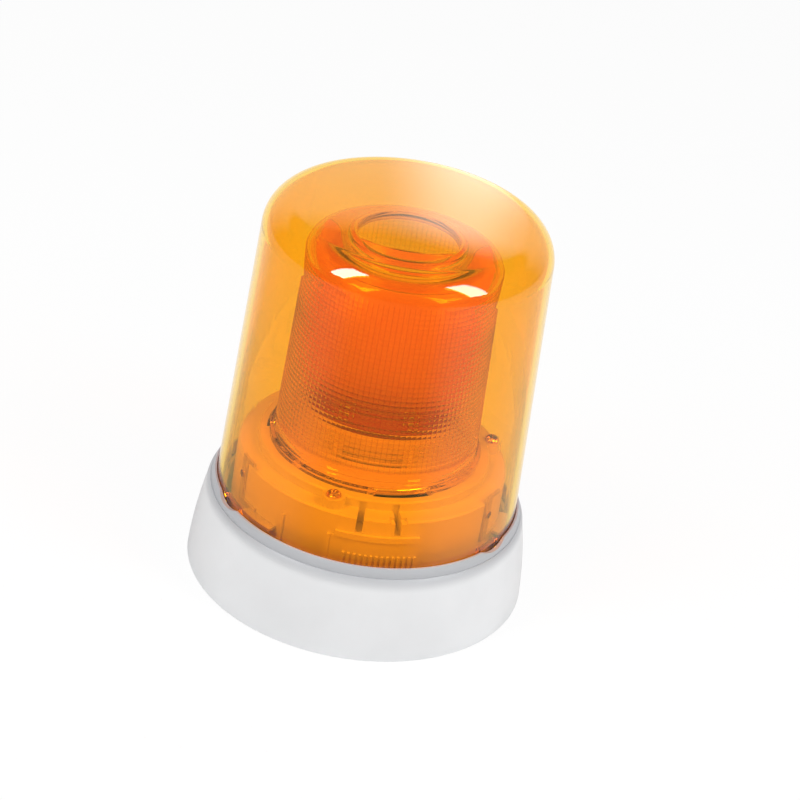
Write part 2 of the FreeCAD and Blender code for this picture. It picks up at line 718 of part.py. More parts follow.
def rotor_gear():
    """Gear on the hub. A gap faces the idler's tooth."""
    phase = idler_bearing + 180.0 / rotor_teeth
    top = rotor_gear_z + rotor_gear_t
    gear = gear_blank(rotor_teeth, rotor_gear_z, top, phase, steps=1)
    web = tube(module * rotor_teeth / 2 - rotor_gear_rim, hub_r + rotor_gear_rim,
               rotor_gear_z + rotor_gear_web, top + 1)
    hole = rod(gear_hole_r, rotor_gear_z - 1, top + 1, 0, -(hub_r + gear_hole_out))
    holes = around(hole, gear_hole_count, gear_hole_bearing)
    return gear.cut([rod(hub_r + seated, rotor_gear_z - 1, top + 1), web] + holes)


def gear_plate():
    """Steel disc under the deck that carries the motor, the idler pin and the centre post."""
    plate = rod(plate_r, plate_z, plate_top)
    tools = [rod(post_r + seated, plate_z - 1, plate_top + 1),
             rod(shaft_r + seated, plate_z - 1, plate_top + 1, idler_x, idler_y),
             rod(motor_boss_r + seated, plate_z - 1, plate_top + 1, motor_x, motor_y)]
    tools += [rod(m25_r + loose, plate_z - 1, plate_top + 1, x, y) for x, y in motor_points()]
    hole = rod(m3_r + loose, plate_z - 1, plate_top + 1, 0, -plate_boss_pitch_r)
    tools += [turned(hole, b) for b in plate_boss_bearings]
    window = block(-window_half, window_half, window_out - plate_r, -window_in, plate_z - 1, plate_top + 1)
    return plate.cut(tools + [turned(window, window_bearing)])


def plate_screws():
    """Screws from below into the chassis bosses."""
    screw = pan_screw(m3_r, 0, -plate_screw_grip, 0, 0)
    screw.rotate(ORIGIN, V(1, 0, 0), 180)
    screw.translate(V(0, -plate_boss_pitch_r, plate_z))
    return [turned(screw, b) for b in plate_boss_bearings]


def motor_points():
    """Two screws across the motor's face, square to the line to the idler."""
    run_x, run_y = (idler_x - motor_x) / motor_to_idler, (idler_y - motor_y) / motor_to_idler
    return [(motor_x - s * motor_screw_r * run_y, motor_y + s * motor_screw_r * run_x) for s in (-1, 1)]


def motor_can():
    low = plate_z - motor_h
    body = spun((0, low), (motor_r, low), (motor_r, plate_z - motor_edge), (motor_r - motor_edge, plate_z),
                (motor_boss_r, plate_z), (motor_boss_r, plate_z + motor_boss_h), (0, plate_z + motor_boss_h))
    body.translate(V(motor_x, motor_y, 0))
    tools = [rod(shaft_r + running, low + 2, plate_top + 1, motor_x, motor_y)]
    tools += [rod(m25_r + seated, plate_z - motor_screw_grip - 1, plate_z + 1, x, y)
              for x, y in motor_points()]
    return body.cut(tools)


def motor_end_cap():
    high = plate_z - motor_h
    low, rim = high - motor_cap_h, motor_r - motor_cap_inset
    cap = spun((0, low), (rim - motor_edge, low), (rim, high - 1), (rim, high), (0, high))
    cap.translate(V(motor_x, motor_y, 0))
    return cap.cut([centred_block(x, y, motor_tab_w + 2 * loose, motor_tab_t + loose, low - 1, high - 1)
                    for x, y in motor_tab_points])


def motor_tabs():
    high = plate_z - motor_h
    return [centred_block(x, y, motor_tab_w, motor_tab_t, high - motor_cap_h - motor_tab_h, high - 1)
            for x, y in motor_tab_points]


def motor_screws():
    return [pan_screw(m25_r, plate_top, plate_z - motor_screw_grip, x, y) for x, y in motor_points()]


def motor_shaft():
    top = large_gear_z - gear_gap / 2 + pinion_t + shaft_spare
    return rod(shaft_r, plate_z - motor_h + 3, top, motor_x, motor_y)


def idler_pin():
    """Shouldered pin riveted in the plate: a head below and a collar under the gear."""
    top = small_gear_z + small_gear_t + 2 * clip_t
    return joined(rod(shaft_r, plate_z - 1, top, idler_x, idler_y),
                  rod(shaft_r + pin_head, plate_z - 1, plate_z, idler_x, idler_y),
                  tube(shaft_r + pin_head, shaft_r - 0.2, plate_top, large_gear_z - 0.2, idler_x, idler_y))


# ---- centre post and rotor -------------------------------------------------------------
def centre_post():
    """Fixed steel tube, flanged under the plate, that the rotor turns on."""
    low, flange = plate_z - post_flange_t, post_r + post_flange
    return spun((post_bore_r, low), (flange, low), (flange, plate_z),
                (post_r, plate_z), (post_r, post_top_z), (post_bore_r, post_top_z))


def thrust_washer():
    return tube(hub_r - washer_inset, post_r + seated, plate_top, plate_top + washer_t)


def bush(low, high):
    """Plain bronze bearing pressed in the hub."""
    return tube(hub_in_r - pressed, post_r + running, low, high)


def rotor_carrier():
    """Hub tube with a ribbed funnel that carries the shield and the reflector."""
    rim_z, inner_z = carrier_top_z - carrier_rim_h, carrier_z + carrier_wall
    funnel = spun(
        (hub_r, carrier_z), (carrier_foot_r - 1, carrier_z), (carrier_foot_r, carrier_z + 1),
        (carrier_top_r, rim_z), (carrier_top_r, carrier_top_z),
        (carrier_top_r - carrier_wall, carrier_top_z), (carrier_top_r - carrier_wall, rim_z),
        (carrier_foot_r - carrier_wall, inner_z), (hub_r, inner_z))
    hub = tube(hub_r, hub_in_r, hub_low_z, hub_top_z)
    edge = 1.2
    rib = outline((hub_r - 0.5, carrier_z + 1), (carrier_foot_r - edge, carrier_z + 1),
                  (carrier_top_r - edge, rim_z), (carrier_top_r - edge, carrier_top_z - 0.5),
                  (hub_r + 4, carrier_top_z - 0.5), (hub_r - 0.5, hub_top_z - 4))
    rib = rib.extrude(V(0, carrier_rib_t, 0))
    rib.translate(V(0, -carrier_rib_t / 2, 0))
    bosses = [rod(m3_r + boss_wall, carrier_z + 1, carrier_top_z, x, y) for x, y in mirror_screws]
    body = joined(funnel, hub, *around(rib, carrier_ribs, carrier_rib_bearing), *bosses)
    body = body.cut(rod(hub_in_r, hub_low_z - 1, hub_top_z + 1))
    return body.cut([rod(m3_r + seated, carrier_top_z - mirror_screw_grip - 1, carrier_top_z + 1, x, y)
                     for x, y in mirror_screws])


def heat_shield():
    disc = tube(carrier_top_r - shield_inset, shield_hole_r, carrier_top_z, shield_top)
    return disc.cut([rod(m3_r + loose, carrier_top_z - 1, shield_top + 1, x, y) for x, y in mirror_screws])


def bowl(depth_shift, reach):
    """Solid filled paraboloid, axis to the front through the lamp, open rim at y = -reach."""
    vertex = focal_length + depth_shift
    rim = sqrt(4 * focal_length * (vertex + reach))
    curve = Part.BezierCurve()
    curve.setPoles([V(0, vertex, 0), V(rim / 2, vertex, 0), V(rim, -reach, 0)])
    edges = [curve.toShape(), Part.LineSegment(V(rim, -reach, 0), V(0, -reach, 0)).toShape(),
             Part.LineSegment(V(0, -reach, 0), V(0, vertex, 0)).toShape()]
    solid = Part.Face(Part.Wire(edges)).revolve(ORIGIN, V(0, 1, 0), 360)
    solid.translate(V(0, 0, lamp_z))
    return solid


def reflector():
    """Paraboloid shell trimmed to the drum, tapering to the carrier, with a screwed foot behind."""
    top = optic_top_z + mirror_above_optic
    envelope = spun((0, shield_top), (carrier_top_r, shield_top),
                    (mirror_r - mirror_throat_in, carrier_top_z + throat_rise),
                    (mirror_r - mirror_waist_in, carrier_top_z + waist_rise),
                    (mirror_r, carrier_top_z + full_rise), (mirror_r, top), (0, top))
    shell = bowl(mirror_wall, mirror_reach + 2).cut(bowl(0, mirror_reach + 4))
    shell = shell.common(envelope)
    heel_r = carrier_top_r - mirror_foot_inset
    heel = rod(heel_r, shield_top, shield_top + mirror_foot_t)
    heel = heel.cut(bowl(mirror_wall / 2, mirror_reach))
    heel = heel.common(block(-heel_r, heel_r, mirror_foot_y, heel_r, shield_top, top))
    body = turned(joined(shell, heel), rotor_rest)
    body = body.cut([rod(m3_r + loose, shield_top - 1, shield_top + mirror_foot_t + 1, x, y)
                     for x, y in mirror_screws])
    return max(body.Solids, key=lambda s: s.Volume)


def reflector_screws():
    top = shield_top + mirror_foot_t
    return [pan_screw(m3_r, top, carrier_top_z - mirror_screw_grip, x, y) for x, y in mirror_screws]


# ---- the lamp --------------------------------------------------------------------------
def lamp_holder():
    """Bayonet cup on the post, with a spigot in its bore and a slot each side for the lamp's pins."""
    low, high, floor = post_top_z - holder_spigot, post_top_z + holder_h, post_top_z + holder_floor
    spigot_r, cup_in_r = post_bore_r - seated, holder_r - holder_wall
    cup = spun((0, low), (spigot_r, low), (spigot_r, post_top_z), (holder_r, post_top_z),
               (holder_r, high), (cup_in_r, high), (cup_in_r, floor), (0, floor))
    slot = block(-holder_slot_half, holder_slot_half, -holder_r - 1, holder_r + 1,
                 high - holder_slot_h, high + 1)
    return cup.cut([slot, rod(contact_r + 0.4, low - 1, floor + 1)])


def lamp_base():
    """Metal cap with two bayonet pins and a contact underneath."""
    cap = rod(lamp_base_r, lamp_base_z, bulb_low)
    pin_z = post_top_z + holder_h - holder_slot_h + holder_slot_half + seated + 0.15
    half = holder_r + lamp_pin_out
    pins = Part.makeCylinder(lamp_pin_r, 2 * half, V(0, -half, pin_z), V(0, 1, 0))
    return joined(cap, pins, rod(contact_r, post_top_z + holder_floor, lamp_base_z))


def lamp_glass():
    """Round bulb on a neck, as a thin shell round the filament."""
    low, top = bulb_low, bulb_low + bulb_h
    mid, thin = top - bulb_r, bulb_wall
    inner_r, inner_neck = bulb_r - thin, bulb_neck_r - thin
    return spun((0.0, low), (bulb_neck_r, low), (bulb_neck_r, mid - sqrt(bulb_r**2 - bulb_neck_r**2)),
                ((bulb_r, mid), (0.0, top)), (0.0, top - thin),
                ((inner_r, mid), (inner_neck, mid - sqrt(inner_r**2 - inner_neck**2))),
                (inner_neck, low + stem_h), (0.0, low + stem_h))


def lamp_filament():
    """Coil between two support wires with a glass bead, as one solid in the bulb's hollow."""
    low = bulb_low + stem_h
    half, spare = filament_w / 2, bead_r
    legs = [rod(filament_leg_r, low, lamp_z + filament_r / 2, s * half, 0) for s in (-1, 1)]
    coil = Part.makeCylinder(filament_r, filament_w, V(-half, 0, lamp_z), V(1, 0, 0))
    bead = Part.makeCylinder(bead_r, filament_w + 2 * spare, V(-half - spare, 0, low + bead_rise), V(1, 0, 0))
    return joined(coil, bead, *legs)


# ---- the optic drum --------------------------------------------------------------------
def optic_drum():
    """Clear drum: flange on the deck, drafted wall, rounded shoulder, ringed hole in the roof."""
    foot, top, wall = plateau_z, optic_top_z, optic_wall
    flange_top = foot + optic_flange_t
    shift = optic_edge_r * (1 - sqrt(0.5))
    roof_r, roof_z = optic_shoulder_r - optic_edge_r, top + optic_edge_r
    ring_z, ring_top = optic_ring_z, optic_ring_z + optic_ring_h
    body = spun(
        (optic_foot_r, foot), (optic_foot_r, flange_top), (optic_wall_r, flange_top),
        (optic_shoulder_r, top), ((optic_shoulder_r - shift, top + optic_edge_r - shift), (roof_r, roof_z)),
        (optic_ring_r, ring_z - 0.5), (optic_ring_r, ring_top - 0.5),
        (optic_ring_r - 0.7, ring_top), (optic_hole_r, ring_top),
        (optic_hole_r, ring_z - wall), (optic_ring_r, ring_z - wall - 0.3), (roof_r, roof_z - wall),
        ((optic_shoulder_r - shift - 0.75 * wall, top + optic_edge_r - shift - 0.75 * wall),
         (optic_shoulder_r - wall, top)), (optic_wall_r - wall, foot))
    slope = (optic_wall_r - optic_shoulder_r) / (top - flange_top)
    for k in range(bead_count):
        z = flange_top + bead_pitch * (k + 0.7)
        r = optic_wall_r - slope * (z - flange_top)
        body = body.fuse(spun((r - 0.6, z - 0.6), (r + bead_h, z - 0.3), (r + bead_h, z + 0.3),
                              (r - 0.6, z + 0.6)))
    notch = sector(optic_foot_r + 1, optic_wall_r + 0.1, foot - 1, flange_top - 0.6,
                   (slot_end - slot_start) / 2 - 1)
    body = body.removeSplitter().cut(around(notch, slot_count, (slot_start + slot_end) / 2))
    return joined(body, *around(optic_tab(), slot_count))


def optic_tab():
    """Bayonet tab through a slot in the deck, with a hook that reaches under it."""
    inner = optic_wall_r - optic_wall
    outer, low = inner + tab_t, plateau_z - tab_drop
    tab = sector(outer, inner, low, plateau_z + 1, tab_half)
    hook = sector(outer, inner, low, plateau_under - hook_gap, (tab_half + tab_hook) / 2)
    return turned(joined(tab, turned(hook, (tab_hook - tab_half) / 2 + tab_half)), slot_end - tab_back)


# ---- the dome --------------------------------------------------------------------------
def dome_line(inset):
    """Outline points of the dome, inset from its outside: wall start, wall end, arc middle,
    crown edge, crown middle and crown top."""
    draft, crown = radians(dome_draft), radians(dome_crown)
    edge = dome_edge_r
    wall_r = dome_r - inset / cos(draft)
    centre_z = dome_top_z - edge
    for _ in range(40):
        centre_r = dome_r - (centre_z + edge * sin(draft) - dome_line_z) * tan(draft) - edge * cos(draft)
        cap_r = (centre_r + edge * sin(crown)) / sin(crown)
        centre_z = dome_top_z - cap_r * (1 - cos(crown)) - edge * cos(crown)
    small, cap = edge - inset, cap_r - inset
    cap_z = dome_top_z - cap_r

    def corner(angle):
        return centre_r + small * cos(angle), centre_z + small * sin(angle)

    return (wall_r, corner(draft), corner((draft + pi / 2 - crown) / 2), corner(pi / 2 - crown),
            (cap * sin(crown / 2), cap_z + cap * cos(crown / 2)), (0.0, cap_z + cap))


def dome():
    out_r, out_a, out_m, out_b, out_c, out_top = dome_line(0.0)
    in_r, in_a, in_m, in_b, in_c, in_top = dome_line(dome_wall)
    shell = spun((out_r, dome_foot_z), (out_r, dome_line_z), out_a, (out_m, out_b), (out_c, out_top),
                 in_top, (in_c, in_b), (in_m, in_a), (in_r, dome_line_z), (in_r, dome_foot_z))
    lug = sector(in_r + 0.3, in_r - lug_depth, lug_z, lug_z + lug_h, lug_half)
    return joined(shell, *around(lug, lug_count, lug_bearing))


def dome_seal():
    """Rubber ring on the ledge, grooved on top to bear on the dome's foot."""
    outer, inner = dome_r - 0.1, dome_r - seal_t
    mid, half = (outer + inner) / 2, 0.8 * seal_groove
    return spun((inner, seat_z), (outer, seat_z), (outer, dome_foot_z), (mid + half, dome_foot_z),
                (mid, dome_foot_z - seal_groove), (mid - half, dome_foot_z), (inner, dome_foot_z))


def main():
    os.makedirs("parts", exist_ok=True)
    save("base_housing", base_housing())
    save("mounting_gasket", mounting_gasket())
    save("cable_grommet", cable_grommet())
    save("terminal_block", terminal_block())
    save("terminal_screws", *terminal_screws())
    save("filter_board", filter_board())
    save("board_screws", *board_screws())
    save("filter_choke", filter_choke())
    save("filter_capacitor", filter_capacitor())
    save("chassis_drum", chassis_drum())
    save("chassis_screws", *chassis_screws())
    save("dome_brackets", *dome_brackets())
    save("bracket_rivets", *bracket_rivets())
    save("service_cover", service_cover())
    save("gear_plate", gear_plate())
    save("plate_screws", *plate_screws())
    save("motor_can", motor_can())
    save("motor_end_cap", motor_end_cap())
    save("motor_tabs", *motor_tabs())
    save("motor_screws", *motor_screws())
    save("motor_shaft", motor_shaft())
    save("motor_pinion", motor_pinion())
    save("idler_pin", idler_pin())
    save("idler_clip", circlip(shaft_r, small_gear_z + small_gear_t + clip_gap, idler_x, idler_y))
    save("idler_gear", idler_gear())
    save("centre_post", centre_post())
    save("thrust_washer", thrust_washer())
    save("post_clip", circlip(post_r, hub_top_z + clip_gap))
    save("lower_bush", bush(hub_low_z, hub_low_z + lower_bush_h))
    save("upper_bush", bush(hub_top_z - upper_bush_h, hub_top_z))
    save("rotor_carrier", rotor_carrier())
    save("rotor_gear", rotor_gear())
    save("heat_shield", heat_shield())
    save("reflector", reflector())
    save("reflector_screws", *reflector_screws())
    save("lamp_holder", lamp_holder())
    save("lamp_base", lamp_base())
    save("lamp_glass", lamp_glass())
    save("lamp_filament", lamp_filament())
    save("optic_drum", optic_drum())
    save("dome_seal", dome_seal())
    save("dome", dome())


main()
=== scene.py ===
"""Rotating beacon: finishes, moulded lenses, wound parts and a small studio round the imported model.

Lengths are metres. +Z is up, the origin is the centre of the foot, and the front is -Y.
A bearing is an angle about +Z, from the front towards +X.
"""
from math import cos, pi, radians, sin, sqrt, tan

import bpy
import numpy as np
from bpy.props import FloatProperty, FloatVectorProperty, IntProperty, PointerProperty
from bpy.types import Operator, Panel, PropertyGroup
from mathutils import Matrix, Vector


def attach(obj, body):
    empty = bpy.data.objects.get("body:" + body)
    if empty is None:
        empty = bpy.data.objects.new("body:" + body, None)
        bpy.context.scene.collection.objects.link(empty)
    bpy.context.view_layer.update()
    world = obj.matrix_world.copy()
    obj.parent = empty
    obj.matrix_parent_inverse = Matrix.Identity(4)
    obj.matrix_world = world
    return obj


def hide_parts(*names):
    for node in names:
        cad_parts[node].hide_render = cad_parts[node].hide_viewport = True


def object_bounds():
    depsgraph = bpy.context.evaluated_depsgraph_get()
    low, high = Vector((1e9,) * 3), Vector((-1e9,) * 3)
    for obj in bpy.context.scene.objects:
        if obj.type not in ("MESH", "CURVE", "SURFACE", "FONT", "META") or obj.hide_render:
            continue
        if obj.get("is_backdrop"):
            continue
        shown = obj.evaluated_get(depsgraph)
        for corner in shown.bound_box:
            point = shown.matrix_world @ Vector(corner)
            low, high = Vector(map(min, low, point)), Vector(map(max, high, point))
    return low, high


bl_info = {
    "name": "Rotating Beacon Finish",
    "version": (1, 0, 0),
    "blender": (4, 5, 0),
    "location": "3D View > Sidebar > Beacon",
    "description": "Lenses, finishes and studio for a rotating beacon",
    "category": "Object",
}

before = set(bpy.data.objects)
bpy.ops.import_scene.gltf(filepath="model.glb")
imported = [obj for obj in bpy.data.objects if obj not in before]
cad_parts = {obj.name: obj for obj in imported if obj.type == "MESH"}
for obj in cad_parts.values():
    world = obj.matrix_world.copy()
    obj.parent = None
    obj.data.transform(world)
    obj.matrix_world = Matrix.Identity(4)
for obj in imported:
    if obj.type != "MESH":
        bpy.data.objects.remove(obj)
cad_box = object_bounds()
MM = 0.001


# ---- meshes ----------------------------------------------------------------------------
def grid_faces(index, ring=True, loop=False):
    """Quads between neighbouring rows of an index grid; a row that is one point gives triangles.

    index[k, j] is the vertex of row k and column j. The last column joins the first if ring is
    set, and the last row joins the first if loop is set.
    """
    low = index if loop else index[:-1]
    high = np.roll(index, -1, 0) if loop else index[1:]
    if ring:
        a, b, c, d = low, np.roll(low, -1, 1), np.roll(high, -1, 1), high
    else:
        a, b, c, d = low[:, :-1], low[:, 1:], high[:, 1:], high[:, :-1]
    quads = np.stack([a, b, c, d], -1).reshape(-1, 4)
    point_low, point_high = quads[:, 0] == quads[:, 1], quads[:, 2] == quads[:, 3]
    faces = quads[~(point_low | point_high)].tolist()
    faces += quads[point_low & ~point_high][:, [0, 2, 3]].tolist()
    faces += quads[point_high & ~point_low][:, [0, 1, 2]].tolist()
    return faces


def turned_surface(radius, height, bearing, loop=True):
    """Surface of revolution: row k and column j lie at (r sin b, -r cos b, z).

    radius and height are arrays of rows by columns, or of rows alone; b is the column's bearing
    in radians. Rows run outwards-up-inwards, so that faces point out. A row of radius 0 is a pole.
    """
    bearing = np.asarray(bearing, float)[None, :]
    radius, height = (np.asarray(a, float).reshape(len(a), -1) for a in (radius, height))
    shape = (len(radius), bearing.shape[1])
    radius, height = np.broadcast_to(radius, shape), np.broadcast_to(height, shape)
    points = np.stack([radius * np.sin(bearing), -radius * np.cos(bearing), height], -1)
    pole = np.abs(radius).max(1) < 1e-9
    index = np.arange(points.shape[0] * points.shape[1]).reshape(shape).copy()
    index[pole] = index[pole][:, :1]
    return points.reshape(-1, 3), grid_faces(index, True, loop)


def swept_tube(path, radius, sides=10, closed=False):
    """Round tube: a circle of the given radius carried along a path, square to it at each point.

    The circle's axes are the path's normal, which is turned as little as possible from point to
    point by projecting the last one, and the cross product of tangent and normal.
    """
    path = np.asarray(path, float)
    ahead = np.roll(path, -1, 0) - np.roll(path, 1, 0)
    if not closed:
        ahead[0], ahead[-1] = path[1] - path[0], path[-1] - path[-2]
    tangent = ahead / np.linalg.norm(ahead, axis=1)[:, None]
    seed = np.array([0.0, 0.0, 1.0]) if abs(tangent[0, 2]) < 0.9 else np.array([1.0, 0.0, 0.0])
    side = np.cross(tangent, seed)
    side /= np.maximum(np.linalg.norm(side, axis=1), 1e-9)[:, None]
    other = np.cross(tangent, side)
    turn = 2 * pi * np.arange(sides) / sides
    ring = side[:, None] * np.cos(turn)[None, :, None] + other[:, None] * np.sin(turn)[None, :, None]
    points = path[:, None] + radius * ring
    index = np.arange(points.shape[0] * sides).reshape(-1, sides)
    faces = grid_faces(index, True, closed)
    if not closed:
        faces += [index[0].tolist()[::-1], index[-1].tolist()]
    return points.reshape(-1, 3), faces


def merged(*parts):
    """One vertex array and one face list from several (points, faces) pairs."""
    points, faces, start = [], [], 0
    for p, f in parts:
        points.append(np.asarray(p))
        faces += [[i + start for i in face] for face in f]
        start += len(p)
    return np.concatenate(points), faces


def sector_block(inner, outer, low, bearings, tops):
    """Closed block between two radii, along a row of bearings in degrees, with a top height at each.

    Its corners are (r sin b, -r cos b, z) for both radii, the low height and the bearing's top.
    """
    turn = np.radians(bearings)
    radius = np.array([outer, outer, inner, inner])[:, None] * np.ones(len(turn))
    height = np.stack([np.full(len(turn), low), tops, tops, np.full(len(turn), low)])
    points = np.stack([radius * np.sin(turn), -radius * np.cos(turn), height], -1).reshape(-1, 3)
    index = np.arange(len(points)).reshape(4, -1)
    return points, grid_faces(index, False, True) + [index[:, 0].tolist(), index[::-1, -1].tolist()]


def piece(name, shape, material, body, replaced, crease=40.0, marks=None):
    """Makes a mesh object from (points in millimetres, faces) and hands it to the frame.

    marks is a name and one number per point, which a material can read as an attribute.
    """
    points, faces = shape
    mesh = bpy.data.meshes.new(name)
    mesh.from_pydata((np.asarray(points) * MM).tolist(), [], faces)
    if marks:
        label, values = marks
        mesh.attributes.new(label, "FLOAT", "POINT").data.foreach_set("value", np.asarray(values, "f"))
    mesh.validate()
    mesh.polygons.foreach_set("use_smooth", np.ones(len(mesh.polygons), bool))
    mesh.set_sharp_from_angle(angle=radians(crease))
    mesh.materials.append(material)
    mesh.update()
    made = bpy.data.objects.new(name, mesh)
    bpy.context.scene.collection.objects.link(made)
    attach(made, body)
    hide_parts(*replaced)
    return made


def arc(cx, cz, radius, start, end, count):
    """Points of an arc in a profile; angles in degrees above the outward direction."""
    turn = np.radians(np.linspace(start, end, count))
    return np.stack([cx + radius * np.cos(turn), cz + radius * np.sin(turn)], 1)


def line(x0, z0, x1, z1, count):
    """Evenly spaced points from one end to the other."""
    step = np.linspace(0, 1, count)[:, None]
    return (1 - step) * np.array([[x0, z0]]) + step * np.array([[x1, z1]])


# ---- shader tools ----------------------------------------------------------------------
class Tree:
    """Short calls for building one node tree."""

    def __init__(self, tree):
        self.tree = tree
        self.count = 0

    def add(self, kind, settings=None, **inputs):
        """A node with its settings, and inputs given as values or as sockets to link."""
        node = self.tree.nodes.new(kind)
        node.location = (220 * (self.count % 8), -260 * (self.count // 8))
        self.count += 1
        for key, value in (settings or {}).items():
            setattr(node, key, value)
        for key, value in inputs.items():
            self.feed(node.inputs[key.replace("_", " ")], value)
        return node

    def feed(self, socket, value):
        if isinstance(value, bpy.types.NodeSocket):
            self.tree.links.new(value, socket)
        else:
            socket.default_value = value

    def math(self, operation, a, b=0.0, clamp=False):
        node = self.add("ShaderNodeMath", {"operation": operation, "use_clamp": clamp})
        self.feed(node.inputs[0], a)
        self.feed(node.inputs[1], b)
        return node.outputs[0]

    def mix(self, factor, a, b):
        node = self.add("ShaderNodeMix", {"data_type": "RGBA"})
        self.feed(node.inputs["Factor"], factor)
        self.feed(node.inputs[6], a)
        self.feed(node.inputs[7], b)
        return node.outputs[2]

    def ramp(self, value, low, high, to_low=0.0, to_high=1.0):
        node = self.add("ShaderNodeMapRange", {"interpolation_type": "SMOOTHSTEP"}, Value=value)
        ends = {"From Min": low, "From Max": high, "To Min": to_low, "To Max": to_high}
        for key, number in ends.items():
            self.feed(node.inputs[key], number)
        return node.outputs["Result"]


def rgba(colour):
    return (*tuple(colour)[:3], 1.0)


def group(name, inputs, outputs, build):
    """A shader node group, built once. build(tree, input sockets) gives one socket per output."""
    made = bpy.data.node_groups.get(name)
    if made:
        return made
    made = bpy.data.node_groups.new(name, "ShaderNodeTree")
    for label, default, low, high in inputs:
        socket = made.interface.new_socket(name=label, in_out="INPUT", socket_type="NodeSocketFloat")
        socket.default_value, socket.min_value, socket.max_value = default, low, high
    for label in outputs:
        made.interface.new_socket(name=label, in_out="OUTPUT", socket_type="NodeSocketFloat")
    tree = Tree(made)
    source = made.nodes.new("NodeGroupInput")
    target = made.nodes.new("NodeGroupOutput")
    for label, socket in zip(outputs, build(tree, source.outputs)):
        made.links.new(socket, target.inputs[label])
    return made


def grain_group():
    """Fine grain and a slow mottle of a moulded or painted skin. Scales are in waves per metre."""
    def build(t, given):
        place = t.add("ShaderNodeTexCoord").outputs["Object"]
        fine = t.add("ShaderNodeTexNoise", {}, Vector=place, Scale=given["Grain Scale"], Detail=3.0)
        slow = t.add("ShaderNodeTexNoise", {}, Vector=place, Scale=given["Mottle Scale"], Detail=4.0)
        return fine.outputs["Fac"], t.ramp(slow.outputs["Fac"], 0.3, 0.7)
    inputs = [("Grain Scale", 4000.0, 1.0, 20000.0), ("Mottle Scale", 60.0, 1.0, 2000.0)]
    return group("surface_grain", inputs, ["Grain", "Mottle"], build)


def lathe_group():
    """Fine rings round the vertical axis, as a lathe or a brush leaves them."""
    def build(t, given):
        place = t.add("ShaderNodeTexCoord").outputs["Object"]
        x, y, z = t.add("ShaderNodeSeparateXYZ", {}, Vector=place).outputs
        across = t.math("SQRT", t.math("ADD", t.math("MULTIPLY", x, x), t.math("MULTIPLY", y, y)))
        ring = t.add("ShaderNodeCombineXYZ")
        t.feed(ring.inputs["X"], across)
        t.feed(ring.inputs["Y"], z)
        lines = t.add("ShaderNodeTexNoise", {}, Vector=ring.outputs[0], Scale=given["Line Scale"],
                      Detail=2.0)
        slow = t.add("ShaderNodeTexNoise", {}, Vector=place, Scale=given["Stain Scale"], Detail=5.0)
        return lines.outputs["Fac"], t.ramp(slow.outputs["Fac"], 0.35, 0.7)
    inputs = [("Line Scale", 2500.0, 1.0, 20000.0), ("Stain Scale", 120.0, 1.0, 2000.0)]
    return group("lathe_lines", inputs, ["Lines", "Stain"], build)


def dust_group():
    """Dust that settles on faces turned up, broken by a noise."""
    def build(t, given):
        up = t.add("ShaderNodeSeparateXYZ", {},
                   Vector=t.add("ShaderNodeNewGeometry").outputs["Normal"]).outputs["Z"]
        place = t.add("ShaderNodeTexCoord").outputs["Object"]
        patch = t.add("ShaderNodeTexNoise", {}, Vector=place, Scale=given["Patch Scale"], Detail=6.0)
        lying = t.ramp(up, 0.3, 1.0)
        broken = t.ramp(patch.outputs["Fac"], 0.4, 0.75)
        return [t.math("MULTIPLY", t.math("MULTIPLY", lying, broken), given["Amount"], clamp=True)]
    inputs = [("Patch Scale", 250.0, 1.0, 4000.0), ("Amount", 0.2, 0.0, 1.0)]
    return group("settled_dust", inputs, ["Mask"], build)


def new_material(name):
    """An empty material with its tree and output."""
    made = bpy.data.materials.new(name)
    made.use_nodes = True
    made.node_tree.nodes.clear()
    tree = Tree(made.node_tree)
    return made, tree, tree.add("ShaderNodeOutputMaterial")


def opaque(name, colour, rough, metallic=0.0, grain=(4000.0, 60.0), depth=0.02, tone=0.92,
           rough_swing=0.08, dust=0.0, lathe=False):
    """Principled finish: colour and roughness swing with a mottle, grain gives the bump."""
    made, t, out = new_material(name)
    skin = t.add("ShaderNodeGroup", {"node_tree": lathe_group() if lathe else grain_group()})
    skin.inputs[0].default_value, skin.inputs[1].default_value = grain
    fine, slow = skin.outputs[0], skin.outputs[1]
    base = t.mix(slow, rgba(c * tone for c in colour), rgba(colour))
    if dust:
        mask = t.add("ShaderNodeGroup", {"node_tree": dust_group()})
        mask.inputs["Amount"].default_value = dust
        base = t.mix(mask.outputs[0], base, (0.5, 0.47, 0.42, 1.0))
    roughness = t.ramp(slow, 0.0, 1.0, rough + rough_swing, rough)
    bump = t.add("ShaderNodeBump", {}, Strength=0.5, Distance=depth * MM, Height=fine)
    skin_shader = t.add("ShaderNodeBsdfPrincipled", {}, Base_Color=base, Roughness=roughness,
                        Normal=bump.outputs[0])
    skin_shader.inputs["Metallic"].default_value = metallic
    t.feed(out.inputs["Surface"], skin_shader.outputs[0])
    return made


SEEN_WALLS = 5.5             # a ray that has met more faces than this goes straight through
ROOM_TINT = 1.3              # power of the tint for the room's light, which crosses the wall more often


